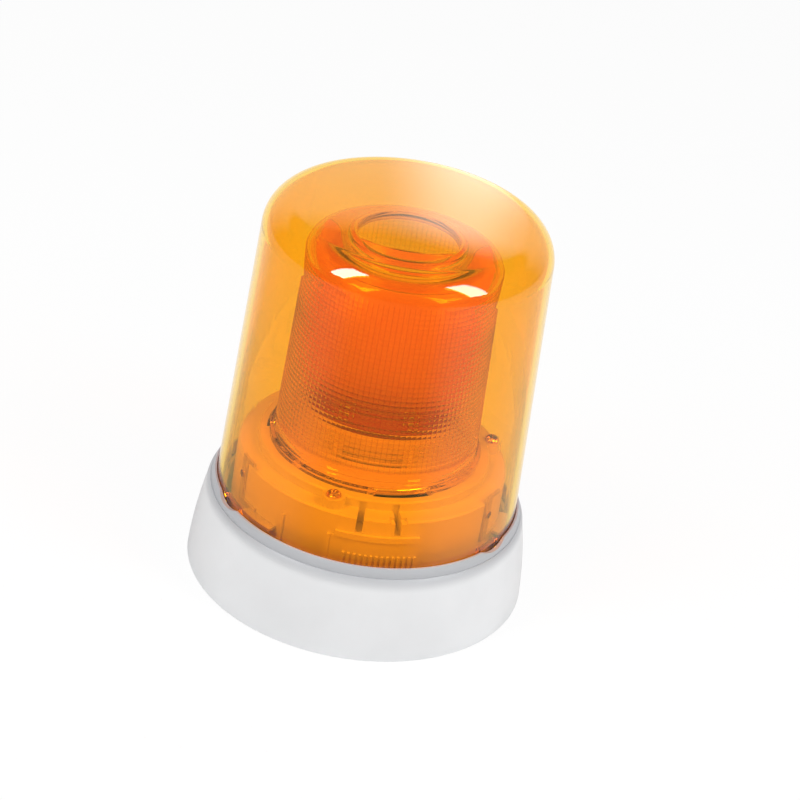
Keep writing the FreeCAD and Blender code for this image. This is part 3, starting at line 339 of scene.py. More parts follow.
def clear(name, colour, rough, ior, pass_colour, wave=(90.0, 0.03), marked=None):
    """Transparent plastic or glass: refracts what is seen, and lets lamps through as a plain tint.

    The plain tint is for shadow and diffuse rays, for what a part inside mirrors, and for rays that
    have met many faces. wave is the skin's waves per metre and their depth in millimetres. marked is
    an attribute's name and the colour of the painted shade that its marks put in the plastic.
    """
    made, t, out = new_material(name)
    skin = t.add("ShaderNodeGroup", {"node_tree": grain_group()})
    skin.inputs["Grain Scale"].default_value = wave[0]
    skin.inputs["Mottle Scale"].default_value = 300.0
    bump = t.add("ShaderNodeBump", {}, Strength=0.4, Distance=wave[1] * MM, Height=skin.outputs["Grain"])
    rough_map = t.ramp(skin.outputs["Mottle"], 0.0, 1.0, rough, rough * 1.6)
    body = t.add("ShaderNodeBsdfPrincipled", {}, Base_Color=rgba(colour), Roughness=rough_map,
                 IOR=ior, Normal=bump.outputs[0])
    body.inputs["Transmission Weight"].default_value = 1.0
    # painted shade: marked points take a darker, redder colour in place of the lines that refraction gives
    if marked:
        mark = t.add("ShaderNodeAttribute", {"attribute_name": marked[0]}).outputs["Fac"]
        t.feed(body.inputs["Base Color"], t.mix(mark, rgba(colour), rgba(marked[1])))
    path = t.add("ShaderNodeLightPath").outputs
    outside = t.math("SUBTRACT", 1.0, t.add("ShaderNodeNewGeometry").outputs["Backfacing"])
    mirrored = t.math("MULTIPLY", path["Is Glossy Ray"],
                      t.math("SUBTRACT", outside, path["Is Transmission Ray"], clamp=True))
    deep = t.math("GREATER_THAN", path["Ray Depth"], SEEN_WALLS)
    through = t.math("MAXIMUM", t.math("MAXIMUM", path["Is Shadow Ray"], deep),
                     t.math("MAXIMUM", path["Is Diffuse Ray"], mirrored))
    strong = rgba(c ** ROOM_TINT for c in pass_colour)
    passed = t.mix(path["Is Diffuse Ray"], rgba(pass_colour), strong)
    tint = t.add("ShaderNodeBsdfTransparent", {}, Color=passed)
    both = t.add("ShaderNodeMixShader")
    t.feed(both.inputs[0], through)
    t.feed(both.inputs[1], body.outputs[0])
    t.feed(both.inputs[2], tint.outputs[0])
    t.feed(out.inputs["Surface"], both.outputs[0])
    return made


def finish_nodes(material, slot, *names):
    """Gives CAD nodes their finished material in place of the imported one."""
    for name in names:
        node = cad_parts[name]
        if not node.data.materials:
            node.data.materials.append(material)
        for place in node.material_slots:
            place.material = material


def settings():
    return bpy.context.scene.beacon


# ---- settings --------------------------------------------------------------------------
def colour_setting(name, description, colour):
    return FloatVectorProperty(name=name, description=description, subtype="COLOR", size=3, min=0.0,
                               max=1.0, default=colour)


class BeaconSettings(PropertyGroup):
    """Sizes and colours that a user would change."""
    flutes: IntProperty(name="Flutes", description="Upright ribs round the optic drum",
                        default=120, min=24, max=144)
    ring_pitch: FloatProperty(name="Ring Pitch", description="Height of one level prism of the optic drum",
                              default=2.55 * MM, min=1.0 * MM, unit="LENGTH")
    flute_depth: FloatProperty(name="Flute Depth", description="Depth of the upright ribs",
                               default=0.10 * MM, min=0.0, unit="LENGTH")
    ring_depth: FloatProperty(name="Ring Depth", description="Depth of the level prisms",
                              default=0.09 * MM, min=0.0, unit="LENGTH")
    dome_colour: colour_setting("Dome Colour", "Colour of the amber dome's wall", (1.0, 0.62, 0.036))
    optic_colour: colour_setting("Drum Colour", "Colour of the optic drum's wall", (1.0, 0.84, 0.62))
    # painted shade: this colour stands for the dark lines that the drum's flutes and prisms show by
    # refraction
    groove_shade_colour: colour_setting("Drum Grooves", "Colour seen in the drum's grooves", (0.70, 0.28, 0.12))
    paint_colour: colour_setting("Base Paint", "Colour of the cast base", (0.80, 0.81, 0.82))
    # painted shade: the collar's grey stands for the shade that the dome casts on the base's top ring
    collar_shade_colour: colour_setting("Collar", "Colour of the base's collar", (0.48, 0.49, 0.51))
    chassis_colour: colour_setting("Chassis", "Colour of the moulded chassis", (0.92, 0.88, 0.80))
    mirror_colour: colour_setting("Reflector Film", "Colour of the reflector's metal film",
                                  (0.92, 0.90, 0.86))
    # painted reflection and shade: the back's rose colour stands for amber light mirrored inside the dome
    # and the redder shade over the reflector
    back_reflection_colour: colour_setting("Reflector Back", "Colour of the reflector's moulding",
                                    (0.78, 0.31, 0.32))
    # painted shade: the dark heel stands for the shade under the reflector's opening
    heel_shade_colour: colour_setting("Reflector Heel", "Colour of the reflector's heel", (0.38, 0.02, 0.03))
    # partly painted shade: the heat shield's dark colour also stands for the shaded crescent under the
    # reflector
    shield_shade_colour: colour_setting("Heat Shield", "Colour of the heat shield", (0.20, 0.03, 0.05))
    lamp_level: FloatProperty(name="Lamp Level", description="Light of the two tall soft boxes",
                              default=10.5, min=0.0)
    room_level: FloatProperty(name="Room Level", description="Light from the room on matt surfaces",
                              default=0.45, min=0.0)


# ---- the dome --------------------------------------------------------------------------
DOME = dict(foot_r=75.0, line_z=49.1, foot_z=42.0, top_z=203.1, edge_r=16.0, draft=2.0, crown=6.9, wall=3.0,
            ease=0.4)
LUG = dict(half=6.0, bearing=60.0, count=3, depth=2.6, low=43.2, high=47.2, ease=0.3, side=0.25)
LAMP_TINT = 0.75             # power of the dome's colour that tints a lamp's light on its way in


def dome_profile(inset):
    """Outline from the foot to the crown's middle, inset from the outside.

    The wall leans in by the draft, an arc of the edge radius meets it tangentially, and a cap of
    a large sphere meets the arc at the crown's slope.
    """
    draft, crown = radians(DOME["draft"]), radians(DOME["crown"])
    edge, top = DOME["edge_r"], DOME["top_z"]
    centre_z = top - edge
    for _ in range(40):
        rise = centre_z + edge * sin(draft) - DOME["line_z"]
        centre_r = DOME["foot_r"] - rise * tan(draft) - edge * cos(draft)
        cap_r = (centre_r + edge * sin(crown)) / sin(crown)
        centre_z = top - cap_r * (1 - cos(crown)) - edge * cos(crown)
    small, cap, cap_z = edge - inset, cap_r - inset, top - cap_r
    corner = arc(centre_r, centre_z, small, DOME["draft"], 90 - DOME["crown"], 40)
    lean = np.radians(np.linspace(DOME["crown"], 0, 30))[1:]
    crown_line = np.stack([cap * np.sin(lean), cap_z + cap * np.cos(lean)], 1)
    crown_line[-1, 0] = 0.0
    wall_r = DOME["foot_r"] - inset / cos(draft)
    upright = line(wall_r, DOME["line_z"], corner[0, 0], corner[0, 1], 24)[:-1]
    return wall_r, np.concatenate([upright, corner, crown_line])


class BEACON_OT_dome(Operator):
    """Amber dome: the outside and inside profiles turned about the axis, with locking lugs in its foot.

    A lug is the inside radius less the lug's depth, between its heights and within its half angle.
    """
    bl_idname = "beacon.dome"
    bl_label = "Dome"

    def execute(self, context):
        s = settings()
        out_r, outside = dome_profile(0.0)
        in_r, inside = dome_profile(DOME["wall"])
        low, high, rise = LUG["low"], LUG["high"], LUG["ease"]
        foot_z, ease = DOME["foot_z"], DOME["ease"]
        foot = np.array([[in_r + ease, foot_z], [out_r - ease, foot_z], [out_r, foot_z + ease],
                         [out_r, low], [out_r, high]])
        inner_foot = np.array([[in_r, high + rise], [in_r, high], [in_r, low], [in_r, low - rise],
                               [in_r, foot_z + ease]])
        rows = np.concatenate([foot, outside, inside[::-1], inner_foot])
        on_lug = np.zeros(len(rows), bool)
        on_lug[-4:-2] = True
        half = LUG["half"]
        steps = np.linspace(-half, half, 9)
        side = half + LUG["side"]
        third = 360 / LUG["count"]
        between = np.linspace(side, third - side, 62)[1:-1]
        one = np.concatenate([[-side], steps, [side], between])
        flag = np.zeros(len(one), bool)
        flag[1:len(steps) + 1] = True
        turns = range(LUG["count"])
        bearing = np.radians(np.concatenate([one + LUG["bearing"] + third * k for k in turns]))
        lugs = np.concatenate([flag for _ in turns])
        radius = rows[:, :1] - LUG["depth"] * (on_lug[:, None] & lugs[None, :])
        height = np.repeat(rows[:, 1:], len(bearing), 1)
        shape = turned_surface(radius, height, bearing)
        colour = tuple(s.dome_colour)
        tint = [c ** LAMP_TINT for c in colour]
        material = clear("amber_dome", colour, 0.012, 1.585, tint, wave=(35.0, 0.01))
        piece("dome_shell", shape, material, "dome", ["dome"])
        return {"FINISHED"}


# ---- the optic drum --------------------------------------------------------------------
OPTIC = dict(foot_z=74.6, foot_r=52.5, flange=2.8, wall_r=50.4, shoulder_r=47.2, height=99.4, edge_r=6.0,
             roof_turn=84.0, wall=2.2, ring_r=28.5, ring_h=2.0, hole_r=24.5, rise=3.6, plain_low=8.0,
             plain_high=1.0, beads=2, bead_start=0.7, bead_pitch=2.4, bead_h=0.5, ease=0.3, ring_ease=0.7)
LAND, GROOVE = 0.8, 0.9      # where a rib's flat ends and where its groove is deepest, in pitches
RING_SHADE = 0.5              # how much of the painted groove shade a level prism shows
NOTCH = dict(start=5.0, end=35.0, step=0.02, count=3, lip=0.6, drop=0.02, out=0.1)
TAB = dict(start=30.4, end=34.8, step=0.02, hook_end=38.8, thick=1.4, low=70.4, hook_top=71.9, sink=0.01)


def optic_levels():
    """Heights of the optic drum: flange top, shoulder start, roof edge, ring foot."""
    flange_z = OPTIC["foot_z"] + OPTIC["flange"]
    top = OPTIC["foot_z"] + OPTIC["height"]
    roof_z = top + OPTIC["edge_r"]
    return flange_z, top, roof_z, roof_z + OPTIC["rise"]


class BEACON_OT_optic(Operator):
    """Optic drum: a drafted profile turned about the axis, with upright flutes outside and prisms inside.

    A flute's groove takes the depth times max(0, 1 - |part - groove| / (groove - land)) off the
    outside, where part is the bearing in pitches less its whole number. A level prism's groove adds
    its depth to the inside radius once a pitch. The notches take the flange back to the wall, and a
    hooked tab hangs below the end of each.
    """
    bl_idname = "beacon.optic"
    bl_label = "Optic Drum"

    def execute(self, context):
        s = settings()
        flange_z, top, roof_z, ring_z = optic_levels()
        o = OPTIC
        slope = (o["wall_r"] - o["shoulder_r"]) / (top - flange_z)
        band_low, band_high = flange_z + o["plain_low"], top - o["plain_high"]

        def at(z):
            return o["wall_r"] - slope * (z - flange_z)

        first, last, step = NOTCH["start"], NOTCH["end"], NOTCH["step"]
        across = np.array([0.0, 0.27, 0.54, LAND, GROOVE])
        plain = (first + 360 * (np.arange(s.flutes)[:, None] + across).ravel() / s.flutes) % 360
        edges = (np.array([first, first + step, last - step, last])
                 + 360 / NOTCH["count"] * np.arange(NOTCH["count"])[:, None]).ravel()
        degrees = np.unique(np.round(np.concatenate([plain, edges]), 4))
        part = ((degrees - first) * s.flutes / 360) % 1.0
        wave = np.clip(1 - np.abs(part - GROOVE) / (GROOVE - LAND), 0, 1)
        within = (degrees - first) % (360 / NOTCH["count"])
        notched = (within > step / 2) & (within < last - first - step / 2)
        bearing = np.radians(degrees)
        columns = len(bearing)
        foot_r, wall_r, ring_r, hole_r = (o[key] for key in ("foot_r", "wall_r", "ring_r", "hole_r"))
        wall, ring_top, e, ring_e = o["wall"], ring_z + o["ring_h"], o["ease"], o["ring_ease"]
        beads = []
        for k in range(o["beads"]):
            z = flange_z + o["bead_pitch"] * (k + o["bead_start"])
            out = at(z) + o["bead_h"]
            beads += [[at(z), z - 2 * e], [out, z - e], [out, z + e], [at(z), z + 2 * e]]
        lip = flange_z - NOTCH["lip"]
        lower = np.array([[foot_r, o["foot_z"]], [foot_r, lip - NOTCH["drop"]], [foot_r, lip],
                          [foot_r, flange_z - e], [foot_r - e, flange_z], [wall_r + e, flange_z],
                          [wall_r, flange_z + e]] + beads + [[at(band_low), band_low]])
        fluted = line(at(band_low + e), band_low + e, at(band_high - e), band_high - e, 3)
        corner_r = o["shoulder_r"] - o["edge_r"]
        shoulder = arc(corner_r, top, o["edge_r"], 0, o["roof_turn"], 14)
        ring = np.array([[ring_r + 2 * e, ring_z - 2 * e], [ring_r, ring_z], [ring_r, ring_top - ring_e],
                         [ring_r - ring_e, ring_top], [hole_r + e, ring_top], [hole_r, ring_top - e],
                         [hole_r, ring_z - wall + e], [hole_r + e, ring_z - wall],
                         [ring_r, ring_z - wall - e], [corner_r, roof_z - wall]])
        upper = np.concatenate([[[at(band_high), band_high]], shoulder, ring])
        inner_corner = arc(corner_r, top, o["edge_r"] - wall, o["roof_turn"], 0, 10)
        count = int((band_high - band_low) * MM / s.ring_pitch)
        steps = (np.arange(count)[:, None] + np.array([0.0, LAND, GROOVE])).ravel() / count
        level = band_high - (band_high - band_low) * steps
        groove = np.tile([0.0, 0.0, 1.0], count)
        inner = np.stack([at(level) - wall + s.ring_depth / MM * groove, level], 1)
        inside = wall_r - wall
        inner_low = np.array([[inside, flange_z], [inside, o["foot_z"]]])
        rows = np.concatenate([lower, fluted, upper, inner_corner, inner, inner_low])
        fluting = np.zeros(len(rows))
        fluting[len(lower):len(lower) + len(fluted)] = 1.0
        radius = rows[:, :1] - s.flute_depth / MM * fluting[:, None] * wave[None, :]
        radius[:2, notched] = wall_r + NOTCH["out"]
        height = np.repeat(rows[:, 1:], columns, 1)
        # painted shade: the flutes' grooves and the level prisms' grooves carry the painted groove shade
        ringed = np.zeros(len(rows))
        start = len(rows) - len(inner_low) - len(inner)
        ringed[start:start + len(inner)] = RING_SHADE * groove
        marks = np.maximum(fluting[:, None] * wave[None, :], ringed[:, None]).ravel()
        end = TAB["end"]
        turn = np.concatenate([np.linspace(TAB["start"], end, 5),
                               np.linspace(end + TAB["step"], TAB["hook_end"], 4)])
        tops = np.where(turn <= end, o["foot_z"] - TAB["sink"], TAB["hook_top"])
        third = 360 / NOTCH["count"]
        tabs = [sector_block(inside, inside + TAB["thick"], TAB["low"], turn + third * k, tops)
                for k in range(NOTCH["count"])]
        shape = merged(turned_surface(radius, height, bearing), *tabs)
        marks = np.concatenate([marks, np.zeros(len(shape[0]) - len(marks))])
        material = clear("clear_optic", s.optic_colour, 0.0, 1.585, [sqrt(c) for c in s.optic_colour],
                         wave=(60.0, 0.004), marked=("groove", tuple(s.groove_shade_colour)))
        piece("optic_lens", shape, material, "base", ["optic_drum"], crease=60.0,
              marks=("groove", marks))
        return {"FINISHED"}


# ---- finishes --------------------------------------------------------------------------
# painted shade: between these heights the base's paint blends into the darker collar colour, which stands
# for the shade under the dome
COLLAR = dict(shade_low=36.0, shade_high=44.0)


class BEACON_OT_base(Operator):
    """Cast base in satin silver paint with painted shade darkening the collar, and its rubber gasket, bush
    and seal
    """
    bl_idname = "beacon.base"
    bl_label = "Base and Seals"

    def execute(self, context):
        paint = opaque("silver_paint", settings().paint_colour, 0.38, metallic=0.1, grain=(2600.0, 40.0),
                       depth=0.03, tone=0.97, rough_swing=0.06)
        rubber = opaque("black_rubber", (0.03, 0.03, 0.03), 0.6, grain=(3000.0, 90.0), depth=0.05,
                        dust=0.25)
        t = Tree(paint.node_tree)
        skin = next(n for n in paint.node_tree.nodes if n.type == "BSDF_PRINCIPLED")
        place = t.add("ShaderNodeTexCoord").outputs["Object"]
        height = t.add("ShaderNodeSeparateXYZ", {}, Vector=place).outputs["Z"]
        # painted shade: the collar is darkened from the lower height up, in place of the dome's shade
        satin_rough_and_collar_shade = t.ramp(height, COLLAR["shade_low"] * MM, COLLAR["shade_high"] * MM)
        painted = skin.inputs["Base Color"].links[0].from_socket
        t.feed(skin.inputs["Base Color"], t.mix(satin_rough_and_collar_shade, painted, rgba(settings().collar_shade_colour)))
        finish_nodes(paint, "silver_paint", "base_housing")
        finish_nodes(rubber, "black_rubber", "mounting_gasket", "cable_grommet", "dome_seal")
        return {"FINISHED"}


class BEACON_OT_mouldings(Operator):
    """Moulded plastic parts: chassis, cover, terminal block, carrier, gears and the motor's end cap"""
    bl_idname = "beacon.mouldings"
    bl_label = "Mouldings"

    def execute(self, context):
        white = opaque("white_plastic", settings().chassis_colour, 0.42, grain=(5000.0, 50.0), depth=0.02,
                       tone=0.96, dust=0.05)
        black = opaque("black_plastic", (0.03, 0.03, 0.035), 0.45, grain=(5000.0, 70.0), depth=0.02)
        finish_nodes(white, "white_plastic", "chassis_drum", "service_cover", "terminal_block",
                     "rotor_carrier", "idler_gear", "rotor_gear")
        finish_nodes(black, "black_plastic", "motor_end_cap")
        return {"FINISHED"}


class BEACON_OT_metals(Operator):
    """Screws, rivets, brackets, plate, post, bushes, motor, clips, lamp holder and the lamp's cap"""
    bl_idname = "beacon.metals"
    bl_label = "Metal Parts"

    def execute(self, context):
        zinc = opaque("zinc_steel", (0.62, 0.63, 0.64), 0.3, metallic=1.0, grain=(3000.0, 150.0),
                      depth=0.01, tone=0.85, lathe=True)
        brass = opaque("brass", (0.85, 0.62, 0.27), 0.2, metallic=1.0, grain=(3000.0, 200.0),
                       depth=0.01, tone=0.85, lathe=True)
        bronze = opaque("bronze", (0.55, 0.37, 0.2), 0.4, metallic=1.0, grain=(5000.0, 300.0), depth=0.02)
        # painted light: a paler, warmer copy of the zinc finish lightens the brackets against their shade
        # inside the dome
        lit_zinc = opaque("zinc_painted_light", (0.76, 0.70, 0.64), 0.45, metallic=0.3, grain=(3000.0, 150.0),
                      depth=0.01)
        finish_nodes(lit_zinc, "zinc_steel", "dome_brackets")
        finish_nodes(zinc, "zinc_steel", "gear_plate", "plate_screws", "motor_can",
                     "motor_screws", "motor_shaft", "idler_pin", "idler_clip", "centre_post",
                     "post_clip", "reflector_screws", "board_screws", "lamp_holder")
        finish_nodes(brass, "brass", "chassis_screws", "motor_tabs", "motor_pinion", "bracket_rivets",
                     "thrust_washer", "terminal_screws", "lamp_base")
        finish_nodes(bronze, "bronze", "lower_bush", "upper_bush")
        return {"FINISHED"}


BOWL = dict(focus=22.0, wall=1.6, lamp_z=126.0, heel_z=98.5, blend=0.4, satin=(0.28, 0.24),
            film_rough=0.25)


def half_coated(name, moulding, film, dark):
    """Satin moulding on the bowl's back, whose rose colour is painted reflection and shade, and a metal
    film in the bowl.

    The film lies where a point is on the open side of the paraboloid half way through the wall,
    y > (x^2 + (z - lamp_z)^2) / 4 focus - focus - wall / 2. Below heel_z the heel is darkened as painted
    shade.
    """
    made, t, out = new_material(name)
    place = t.add("ShaderNodeTexCoord").outputs["Object"]
    x, y, z = t.add("ShaderNodeSeparateXYZ", {}, Vector=place).outputs
    rise = t.math("SUBTRACT", z, BOWL["lamp_z"] * MM)
    square = t.math("ADD", t.math("MULTIPLY", x, x), t.math("MULTIPLY", rise, rise))
    middle = t.math("SUBTRACT", t.math("DIVIDE", square, 4 * BOWL["focus"] * MM),
                    (BOWL["focus"] + BOWL["wall"] / 2) * MM)
    coated = t.math("GREATER_THAN", y, middle)
    skin = t.add("ShaderNodeGroup", {"node_tree": grain_group()})
    skin.inputs["Grain Scale"].default_value = 3000.0
    skin.inputs["Mottle Scale"].default_value = 60.0
    # painted reflection and shade: the moulding's rose colour stands for reflected amber light and shade
    dull = t.mix(skin.outputs["Mottle"], rgba(c * 0.95 for c in moulding), rgba(moulding))
    # painted shade: below heel_z the reflector's heel is blended to the dark heel colour
    low, high = BOWL["heel_z"] - BOWL["blend"], BOWL["heel_z"] + BOWL["blend"]
    heel_shade = t.ramp(z, low * MM, high * MM, 1.0, 0.0)
    dull = t.mix(heel_shade, dull, rgba(dark))
    body = t.add("ShaderNodeBsdfPrincipled", {}, Base_Color=t.mix(coated, dull, rgba(film)),
                 Metallic=coated)
    satin_rough_and_collar_shade = t.ramp(skin.outputs["Mottle"], 0.0, 1.0, *BOWL["satin"])
    share = t.ramp(coated, 0.0, 1.0, 1.0, BOWL["film_rough"])
    t.feed(body.inputs["Roughness"], t.math("MULTIPLY", satin_rough_and_collar_shade, share))
    bump = t.add("ShaderNodeBump", {}, Strength=0.4, Distance=0.008 * MM, Height=skin.outputs["Grain"])
    t.feed(body.inputs["Normal"], bump.outputs[0])
    t.feed(out.inputs["Surface"], body.outputs[0])
    return made


class BEACON_OT_rotor(Operator):
    """Reflector and heat shield"""
    bl_idname = "beacon.rotor"
    bl_label = "Reflector and Shield"

    def execute(self, context):
        s = settings()
        mirror = half_coated("mirror_coat", s.back_reflection_colour, s.mirror_colour, s.heel_shade_colour)
        # partly painted shade: the shield is darkened to stand for the shade under the reflector
        dark = opaque("dark_shield", s.shield_shade_colour, 0.5, metallic=0.2, grain=(3500.0, 120.0), depth=0.02)
        finish_nodes(mirror, "mirror_coat", "reflector")
        finish_nodes(dark, "dark_shield", "heat_shield")
        return {"FINISHED"}


CHOKE = dict(x=25.0, y=7.0, z=16.2, ring_r=5.6, tube_r=2.6, wire_r=0.4, turns=24)


class BEACON_OT_electrics(Operator):
    """Board and capacitor, and a choke whose wire is a tube carried along a coil round a ring.

    At turn a of the ring, the wire's middle is (ring + wound cos(turns a)) out from the choke's
    axis and wound sin(turns a) above its middle.
    """
    bl_idname = "beacon.electrics"
    bl_label = "Electrics"

    def execute(self, context):
        board = opaque("board_green", (0.04, 0.22, 0.1), 0.3, grain=(900.0, 120.0), depth=0.02, tone=0.8)
        copper = opaque("copper_wire", (0.72, 0.33, 0.14), 0.25, metallic=1.0, grain=(3000.0, 200.0),
                        depth=0.01)
        blue = opaque("capacitor_blue", (0.08, 0.2, 0.5), 0.3, grain=(3000.0, 100.0), depth=0.01)
        finish_nodes(board, "board_green", "filter_board")
        c = CHOKE
        turn = np.linspace(0, 2 * pi, c["turns"] * 24, endpoint=False)
        wound = c["tube_r"] - c["wire_r"]
        across = c["ring_r"] + wound * np.cos(c["turns"] * turn)
        coil = np.stack([c["x"] + across * np.cos(turn), c["y"] + across * np.sin(turn),
                         c["z"] + wound * np.sin(c["turns"] * turn)], 1)
        coarse = turn[::12]
        round_path = np.stack([c["x"] + c["ring_r"] * np.cos(coarse), c["y"] + c["ring_r"] * np.sin(coarse),
                               np.full(len(coarse), c["z"])], 1)
        shape = merged(swept_tube(coil, c["wire_r"], 8, True),
                       swept_tube(round_path, wound - c["wire_r"], 16, True))
        piece("choke_winding", shape, copper, "base", ["filter_choke"])
        finish_nodes(blue, "capacitor_blue", "filter_capacitor")
        return {"FINISHED"}


FILAMENT = dict(z=126.0, low=112.0, half=3.0, coil_r=0.48, wire_r=0.12, turns=15, leg_r=0.3, bead_r=0.9,
                bead_z=115.0)


class BEACON_OT_lamp(Operator):
    """Bulb, and a filament whose wire is a tube carried along a coil between two legs.

    At turn a, the wire's middle is coil_r cos(a) behind the coil's axis and coil_r sin(a) above it.
    """
    bl_idname = "beacon.lamp"
    bl_label = "Lamp"

    def execute(self, context):
        glass = clear("clear_glass", (1.0, 1.0, 1.0), 0.01, 1.5, (0.98, 0.98, 0.98), wave=(200.0, 0.005))
        wire = opaque("tungsten", (0.35, 0.35, 0.37), 0.35, metallic=1.0, grain=(6000.0, 300.0),
                      depth=0.01)
        finish_nodes(glass, "clear_glass", "lamp_glass")
        f = FILAMENT
        turn = np.linspace(0, 2 * pi * f["turns"], f["turns"] * 16 + 1)
        coil = np.stack([np.linspace(-f["half"], f["half"], len(turn)), f["coil_r"] * np.cos(turn),
                         f["z"] + f["coil_r"] * np.sin(turn)], 1)
        legs = [swept_tube([[x, 0, f["low"]], [x, 0, f["z"] + f["leg_r"]]], f["leg_r"], 12)
                for x in (-f["half"], f["half"])]
        wide = f["half"] + f["bead_r"]
        bead = swept_tube([[-wide, 0, f["bead_z"]], [wide, 0, f["bead_z"]]], f["bead_r"], 16)
        shape = merged(swept_tube(coil, f["wire_r"], 6), *legs, bead)
        piece("filament_coil", shape, wire, "base", ["lamp_filament"])
        return {"FINISHED"}


# ---- studio ----------------------------------------------------------------------------
VIEW = dict(target_z=0.1091, elevation=29.545, distance=1.3986, lens=129.14, roll=9.607,
            shift_x=0.0183, shift_y=-0.0287)
LAMPS = dict(distance=1.1, height=0.68, aim_z=0.12)
LEFT_LAMP = dict(bearing=-51, elevation=47, width=0.22, share=1.36)
RIGHT_LAMP = dict(bearing=63, elevation=44, width=0.27, share=1.11)
THROUGH = 1.05               # white as seen through the plastic, whose faces turn part of it away


def soft_box(name, level, bearing, elevation, width, share):
    """Rectangular lamp that faces the beacon's middle. Its power is pi times area times radiance."""
    lamp = bpy.data.lights.new(name, "AREA")
    lamp.shape = "RECTANGLE"
    lamp.size, lamp.size_y = width, LAMPS["height"]
    lamp.energy = pi * width * LAMPS["height"] * share * level
    b, e = radians(bearing), radians(elevation)
    back = Vector((sin(b) * cos(e), -cos(b) * cos(e), sin(e)))
    made = bpy.data.objects.new(name, lamp)
    made.location = Vector((0, 0, LAMPS["aim_z"])) + LAMPS["distance"] * back
    made.rotation_euler = back.to_track_quat("Z", "Y").to_euler()
    bpy.context.scene.collection.objects.link(made)
    return made


def aim_camera():
    """Camera at its bearing and height, rolled so that the object leans to the right."""
    e, roll = radians(VIEW["elevation"]), radians(VIEW["roll"])
    right, up = Vector((1, 0, 0)), Vector((0, sin(e), cos(e)))
    back = Vector((0, -cos(e), sin(e)))
    x = cos(roll) * right + sin(roll) * up
    y = cos(roll) * up - sin(roll) * right
    lens = bpy.data.cameras.new("camera")
    lens.lens, lens.sensor_width = VIEW["lens"], 36.0
    lens.shift_x, lens.shift_y = VIEW["shift_x"], VIEW["shift_y"]
    made = bpy.data.objects.new("camera", lens)
    turn = Matrix((x, y, back)).transposed().to_4x4()
    turn.translation = Vector((0, 0, VIEW["target_z"])) + VIEW["distance"] * back
    made.matrix_world = turn
    bpy.context.scene.collection.objects.link(made)
    bpy.context.scene.camera = made


# a ramp goes from its first number to its second, between its two levels
FLOOR = dict(half=4.0, lines=9, low=-0.0004, glow=0.92)
SHEEN = dict(behind=(0.05, 0.80, 0.18, 0.95), right=(0.40, 0.85, 0.18, 0.75),
             left=(-0.85, -0.40, 0.50, 0.18))
WINDOW = dict(near=(-0.05, 0.06, 0.8, 2.7), far=(0.07, 0.16, 1.0, 0.33), back=(0.3, 0.85),
              top=(0.48, 0.60, 1.0, 0.0), side=(0.3, 0.9, 0.12, 0.22))


